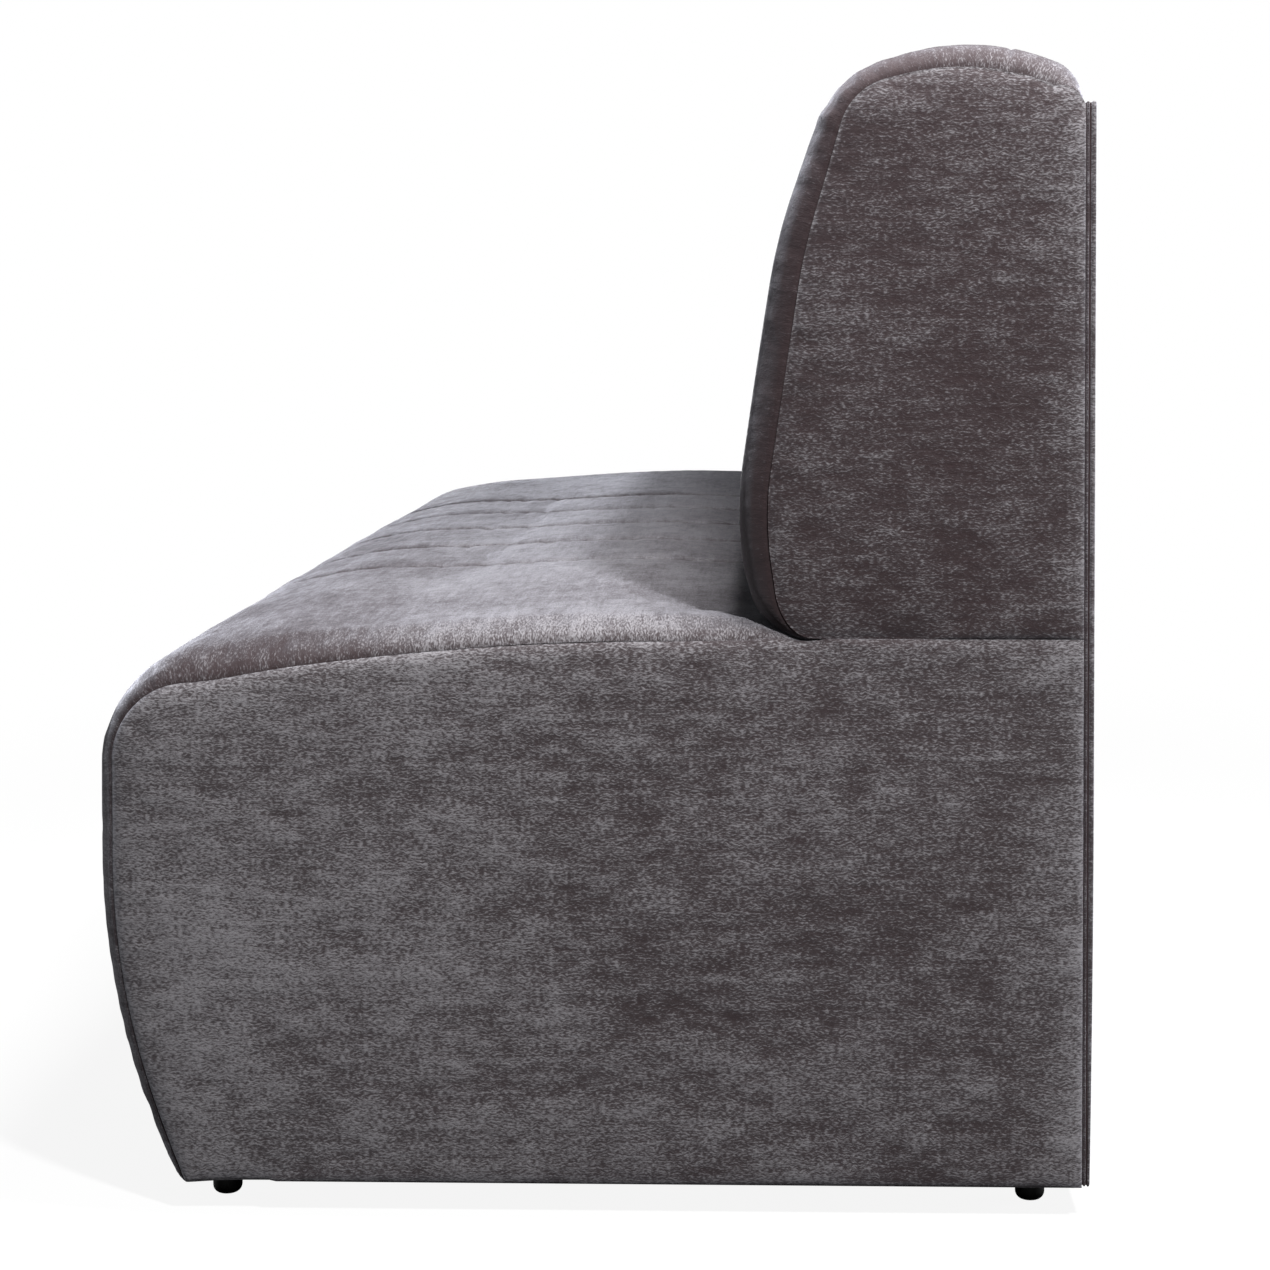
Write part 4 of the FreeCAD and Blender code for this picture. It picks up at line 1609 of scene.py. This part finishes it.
@dataclass
class RearCover:
    """The thin covered panel that closes the rear: a wrapped board with a second layer over it."""

    upholstery: Upholstery
    inner_share: float = 0.44
    groove: float = 0.0007
    gap: float = 0.001
    inner_nap: float = 0.35
    groove_nap: float = -1.3
    outer_nap: float = 0.6
    groove_depth: float = 0.0012
    inner_margin: float = 0.0003
    inner_edge: float = 0.0009
    outer_edge: float = 0.0019
    core_edge: float = 0.0003
    core_lap: float = 1.5
    core_gap: float = 0.0001
    taper: float = 0.0024
    taper_height: float = 0.3
    cells: int = 48
    edge_segments: int = 4
    pillow: float = 0.0012
    pillow_reach: float = 0.05
    pillow_unevenness: float = 0.4
    pillow_length: float = 0.2
    waviness: float = 0.0003
    wave_length: float = 0.11
    wave_reach: float = 0.02
    cloth_rise: float = 0.9
    crease: float = 60.0
    fill: float = 0.3

    def build(self) -> None:
        """Models the two layers with a core between them, its nap set darkest as painted shade in the
        groove, and dresses them as one piece.
        """
        low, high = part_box("rear_cover")
        split = low.y + (high.y - low.y) * self.inner_share
        inset = Vector((self.inner_margin, 0, self.inner_margin))
        ahead = Vector((0, self.gap, 0))
        core = Vector((self.groove_depth, 0, self.groove_depth))
        inner_top = Vector((high.x, split - self.groove, high.z))
        inner = self._layer(low + inset + ahead, inner_top - inset, self.inner_edge, 0.0)
        outer_low = Vector((low.x, split + self.groove, low.z))
        outer = self._layer(outer_low, high, self.outer_edge, self.pillow)
        core_low = low + Vector((0, self.core_gap, 0))
        core_top = Vector((high.x, split + self.core_lap * self.groove, high.z))
        # The core shows only in the groove; its darkest nap is painted shade there.
        groove_shade_layer = self._layer(core_low + core, core_top - core, self.core_edge, 0.0)
        points = Workbench.points(outer)
        lower = np.clip(1 - points[:, 2] / self.taper_height, 0, 1) ** 2
        points[:, 1] -= self.taper * lower * (points[:, 1] > (split + high.y) / 2)
        Workbench.set_points(outer, points)
        self.upholstery.brush(inner, self.inner_nap)
        self.upholstery.brush(groove_shade_layer, self.groove_nap)
        self.upholstery.brush(outer, self.outer_nap)
        piece = Workbench.joined("rear_cover_cloth", [outer, inner, groove_shade_layer])
        bpy.ops.object.shade_smooth_by_angle(angle=math.radians(self.crease))
        points = Workbench.points(piece)
        chart = np.column_stack([points[:, 0] + points[:, 1], points[:, 2] + self.cloth_rise])
        self.upholstery.unroll(piece, chart)
        Workbench.dress(piece, Finish.cover_fabric, "rear_cover")

    def _layer(self, low: Vector, high: Vector, edge: float, pillow: float) -> bpy.types.Object:
        """One layer of the panel.

        Args:
            low: Its lowest corner.
            high: Its highest corner.
            edge: How far its edges are rounded.
            pillow: How far its outer face swells.

        Returns:
            The layer.
        """
        size, middle = high - low, (low + high) / 2
        piece = Workbench.started("rear_layer", bpy.ops.mesh.primitive_cube_add, size=1.0)
        Workbench.set_points(piece, Workbench.points(piece) * np.array(size) + np.array(middle))
        Workbench.select(piece, "EDGE", lambda at, way: True)
        bpy.ops.mesh.bevel(offset=edge, segments=self.edge_segments, profile=0.5, affect="EDGES")
        Workbench.closed()
        for share in np.linspace(0, 1, self.cells)[1:-1]:
            self._cut(piece, (low.x + size.x * share, 0, 0), (1, 0, 0))
            self._cut(piece, (0, 0, low.z + size.z * share), (0, 0, 1))
        points = Workbench.points(piece)
        upright = np.minimum(points[:, 2] - low.z, high.z - points[:, 2])
        rim = np.minimum(size.x / 2 - np.abs(points[:, 0]), upright)
        outer = (points[:, 1] > middle.y) * pillow
        uneven = 1 + self.pillow_unevenness * waves(points, self.pillow_length, seed=1.0)
        points[:, 1] += outer * (1 - np.exp(-rim / self.pillow_reach)) * uneven
        wavy = self.waviness * (1 + waves(points, self.wave_length, seed=7.0)) * (rim < self.wave_reach)
        points[:, 0] -= np.sign(points[:, 0]) * wavy
        Workbench.set_points(piece, points)
        return piece

    @staticmethod
    def _cut(piece: bpy.types.Object, at: Triple, normal: Triple) -> None:
        """Cuts a line round the panel.

        Args:
            piece: The panel.
            at: A point of the cutting plane.
            normal: The plane's normal.
        """
        Workbench.opened(piece)
        bpy.ops.mesh.bisect(plane_co=at, plane_no=normal)
        Workbench.closed()


@dataclass
class Feet:
    """Round plastic feet under the rails."""

    LEVEL: ClassVar[float] = 0.5
    DOWN: ClassVar[float] = -0.9
    UPPER: ClassVar[float] = 0.4

    radius: float = 0.011
    sides: int = 40
    round_over: float = 0.0062
    round_segments: int = 6
    sole_rim: float = 0.0012
    sole_step: float = 0.0008
    sole_depth: float = 0.0006
    flange: float = 0.0012
    flange_segments: int = 3
    crease: float = 40.0

    def build(self) -> None:
        """Models one foot and copies it to each place."""
        for row in ("front_feet", "rear_feet"):
            low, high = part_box(row)
            y = (low.y + high.y) / 2
            reach = (high.x - low.x) / 2 - self.radius
            copies = [self._foot(row, x, y, high.z) for x in (-reach, 0.0, reach)]
            piece = Workbench.joined(row + "_moulded", copies)
            bpy.ops.object.shade_smooth_by_angle(angle=math.radians(self.crease))
            Workbench.dress(piece, Finish.foot_plastic, row)

    def _foot(self, row: str, x: float, y: float, height: float) -> bpy.types.Object:
        """One foot.

        Args:
            row: The row that it belongs to.
            x: Its place along the bench.
            y: Its place across.
            height: How tall it is.

        Returns:
            The foot.
        """
        foot = Workbench.started(row + "_foot", bpy.ops.mesh.primitive_cylinder_add, vertices=self.sides,
                                 radius=self.radius, depth=height, location=(0, 0, 0))
        Workbench.select(foot, "EDGE", lambda at, way: at.z < 0 and abs(way.z) < self.LEVEL)
        bpy.ops.mesh.bevel(offset=self.round_over, segments=self.round_segments, profile=0.5, affect="EDGES")
        Workbench.closed()
        Workbench.select(foot, "FACE", lambda at, normal: normal.z < self.DOWN)
        bpy.ops.mesh.inset(thickness=self.sole_rim)
        bpy.ops.mesh.inset(thickness=self.sole_step, depth=-self.sole_depth)
        Workbench.closed()
        upper = self.UPPER * height
        Workbench.select(foot, "EDGE", lambda at, way: at.z > upper and abs(way.z) < self.LEVEL)
        bpy.ops.mesh.bevel(offset=self.flange, segments=self.flange_segments, profile=0.5, affect="EDGES")
        Workbench.closed()
        Workbench.set_points(foot, Workbench.points(foot) + np.array((x, y, height / 2)))
        return foot


@dataclass
class DustCover:
    """The thin cloth stapled under the base."""

    sag: float = 0.004
    sag_reach: float = 0.12
    unevenness: float = 0.2
    uneven_length: float = 0.3
    clearance: float = 0.0002
    thickness: float = 0.0006
    cells: tuple[int, int] = (72, 28)

    def build(self) -> None:
        """Models the cloth and dresses it."""
        low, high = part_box("dust_cover")
        size, middle = high - low, (low + high) / 2
        piece = Workbench.started("dust_cloth_sheet", bpy.ops.mesh.primitive_grid_add,
                                  x_subdivisions=self.cells[0], y_subdivisions=self.cells[1], size=1.0)
        points = Workbench.points(piece) * np.array((size.x, size.y, 0)) + np.array(middle)
        reach = np.array((size.x, size.y)) / 2 - np.abs(points[:, :2] - np.array((middle.x, middle.y)))
        sag = self.sag * (1 - np.exp(-reach.min(axis=1) / self.sag_reach))
        uneven = 1 + self.unevenness * (waves(points, self.uneven_length, seed=5.0) - 1)
        points[:, 2] = high.z - self.clearance - sag * uneven
        Workbench.set_points(piece, points)
        Workbench.modify(piece, "SOLIDIFY", thickness=self.thickness, offset=-1.0)
        Workbench.alone(piece)
        bpy.ops.object.shade_smooth()
        Workbench.dress(piece, Finish.dust_cloth, "dust_cover")


class Inside:
    """The timber, foam and webbing inside, which keep their CAD shapes."""

    def dress(self) -> None:
        """Gives each node that still shows its finish."""
        slots = {part["node"]: part["material_slot"] for part in frame["record"]["subparts"]}
        for name, node in frame["nodes"].items():
            if node.hide_render:
                continue
            node.data.materials.clear()
            node.data.materials.append(Finish[slots[name]].made)
            LOG.info("%s: as in the CAD, %s", name, slots[name])


# The studio


@dataclass(frozen=True)
class Lamp:
    """A square soft lamp."""

    name: str
    at: Triple
    aim: Triple
    watts: float
    size: float

    def hang(self) -> None:
        """Puts the lamp in its place."""
        data = bpy.data.lights.new(self.name, "AREA")
        data.energy = self.watts
        data.size = self.size
        lamp = bpy.data.objects.new(self.name, data)
        bpy.context.scene.collection.objects.link(lamp)
        lamp.location = self.at
        lamp.rotation_euler = (Vector(self.aim) - Vector(self.at)).to_track_quat("-Z", "Y").to_euler()


@dataclass
class Studio:
    """The floor, the lamps, the white surroundings and the camera."""

    camera_at: Triple = (2.953, 0.141, 0.677)
    camera_yaw: float = -0.0264
    camera_pitch: float = 0.0304
    lens: float = 80.4
    sensor: float = 36.0
    shift: tuple[float, float] = (-0.06, -0.2)
    sky: float = 0.1
    floor_size: float = 60.0
    floor_seen: Triple = (0.8, 0.8, 0.8)
    floor_reflected: Triple = (0.08, 0.08, 0.08)
    floor_glow: float = 0.9
    shadow_shape: Triple = (0.8, 1.2, 1.0)
    shadow_fade: tuple[float, float] = (0.7, 1.9)
    lamps: tuple[Lamp, ...] = (
        Lamp("key", (2.55, 0.91, 2.12), (0.6, 0.0, 0.4), 133.0, 0.16),
        Lamp("top", (0.9, 0.36, 1.9), (0.8, 0.0, 0.4), 70.0, 0.5),
        Lamp("left", (-3.6, -0.6, 0.36), (-0.9, 0.0, 0.36), 60.0, 0.3),
        Lamp("rear", (-0.3, 3.6, 0.8), (0.0, 0.36, 0.45), 42.0, 1.4),
        Lamp("front", (-0.8, -3.6, 0.4), (0.0, -0.3, 0.4), 45.0, 0.4),
    )

    def build(self) -> None:
        """Makes everything round the object."""
        bpy.context.scene.view_settings.view_transform = "Standard"
        self._world()
        self._floor()
        for lamp in self.lamps:
            lamp.hang()
        self._camera()

    def _world(self) -> None:
        """White surroundings for the camera, and a softer light for the object."""
        g = Graph(bpy.data.worlds.new("studio"))
        path = g.node("ShaderNodeLightPath", output="Is Camera Ray")
        strength = g.node("ShaderNodeMapRange", {}, {"Value": path, "To Min": self.sky, "To Max": 1.0})
        white = g.node("ShaderNodeBackground", {}, {"Color": (1, 1, 1, 1), "Strength": strength})
        bpy.context.scene.world = g.close(white, "ShaderNodeOutputWorld")

    def _floor(self) -> None:
        """A wide pale floor that takes a soft shadow."""
        floor = Workbench.started("floor", bpy.ops.mesh.primitive_plane_add, size=self.floor_size)
        g = Graph(bpy.data.materials.new("pale_floor"))
        glow = g.node("ShaderNodeEmission", {}, {"Color": (1, 1, 1, 1), "Strength": 1.0})
        path = g.node("ShaderNodeLightPath", output="Is Camera Ray")
        colour = g.mix(path, self.floor_reflected, self.floor_seen)
        plain = g.node("ShaderNodeBsdfDiffuse", {}, {"Color": colour})
        spread = g.scaled(g.place(), self.shadow_shape)
        far = g.node("ShaderNodeVectorMath", {"operation": "LENGTH"}, {0: spread}, "Value")
        share = self.floor_glow + (1 - self.floor_glow) * far.step(*self.shadow_fade)
        shader = g.node("ShaderNodeMixShader", {}, {0: path * share, 1: plain, 2: glow})
        floor.data.materials.append(g.close(shader))

    def _camera(self) -> None:
        """The camera, at the photograph's place."""
        data = bpy.data.cameras.new("camera")
        camera = bpy.data.objects.new("camera", data)
        bpy.context.scene.collection.objects.link(camera)
        data.lens = self.lens
        data.sensor_width = self.sensor
        data.shift_x, data.shift_y = self.shift
        data.clip_end = 2 * self.floor_size
        level = math.cos(self.camera_pitch)
        ahead, aside = -math.cos(self.camera_yaw) * level, math.sin(self.camera_yaw) * level
        way = Vector((ahead, aside, -math.sin(self.camera_pitch)))
        camera.location = self.camera_at
        camera.rotation_euler = way.to_track_quat("-Z", "Y").to_euler()
        bpy.context.scene.camera = camera


def main() -> None:
    """Builds the bench piece by piece."""
    logging.basicConfig(level=logging.INFO, format="%(message)s")
    upholstery = Upholstery()
    seat = SeatCover(upholstery)
    back = BackCover(upholstery)
    seat.build()
    back.build()
    EndCovers(upholstery, seat, back).build()
    RearCover(upholstery).build()
    Feet().build()
    DustCover().build()
    Inside().dress()
    Studio().build()


if __name__ == "__main__":
    main()
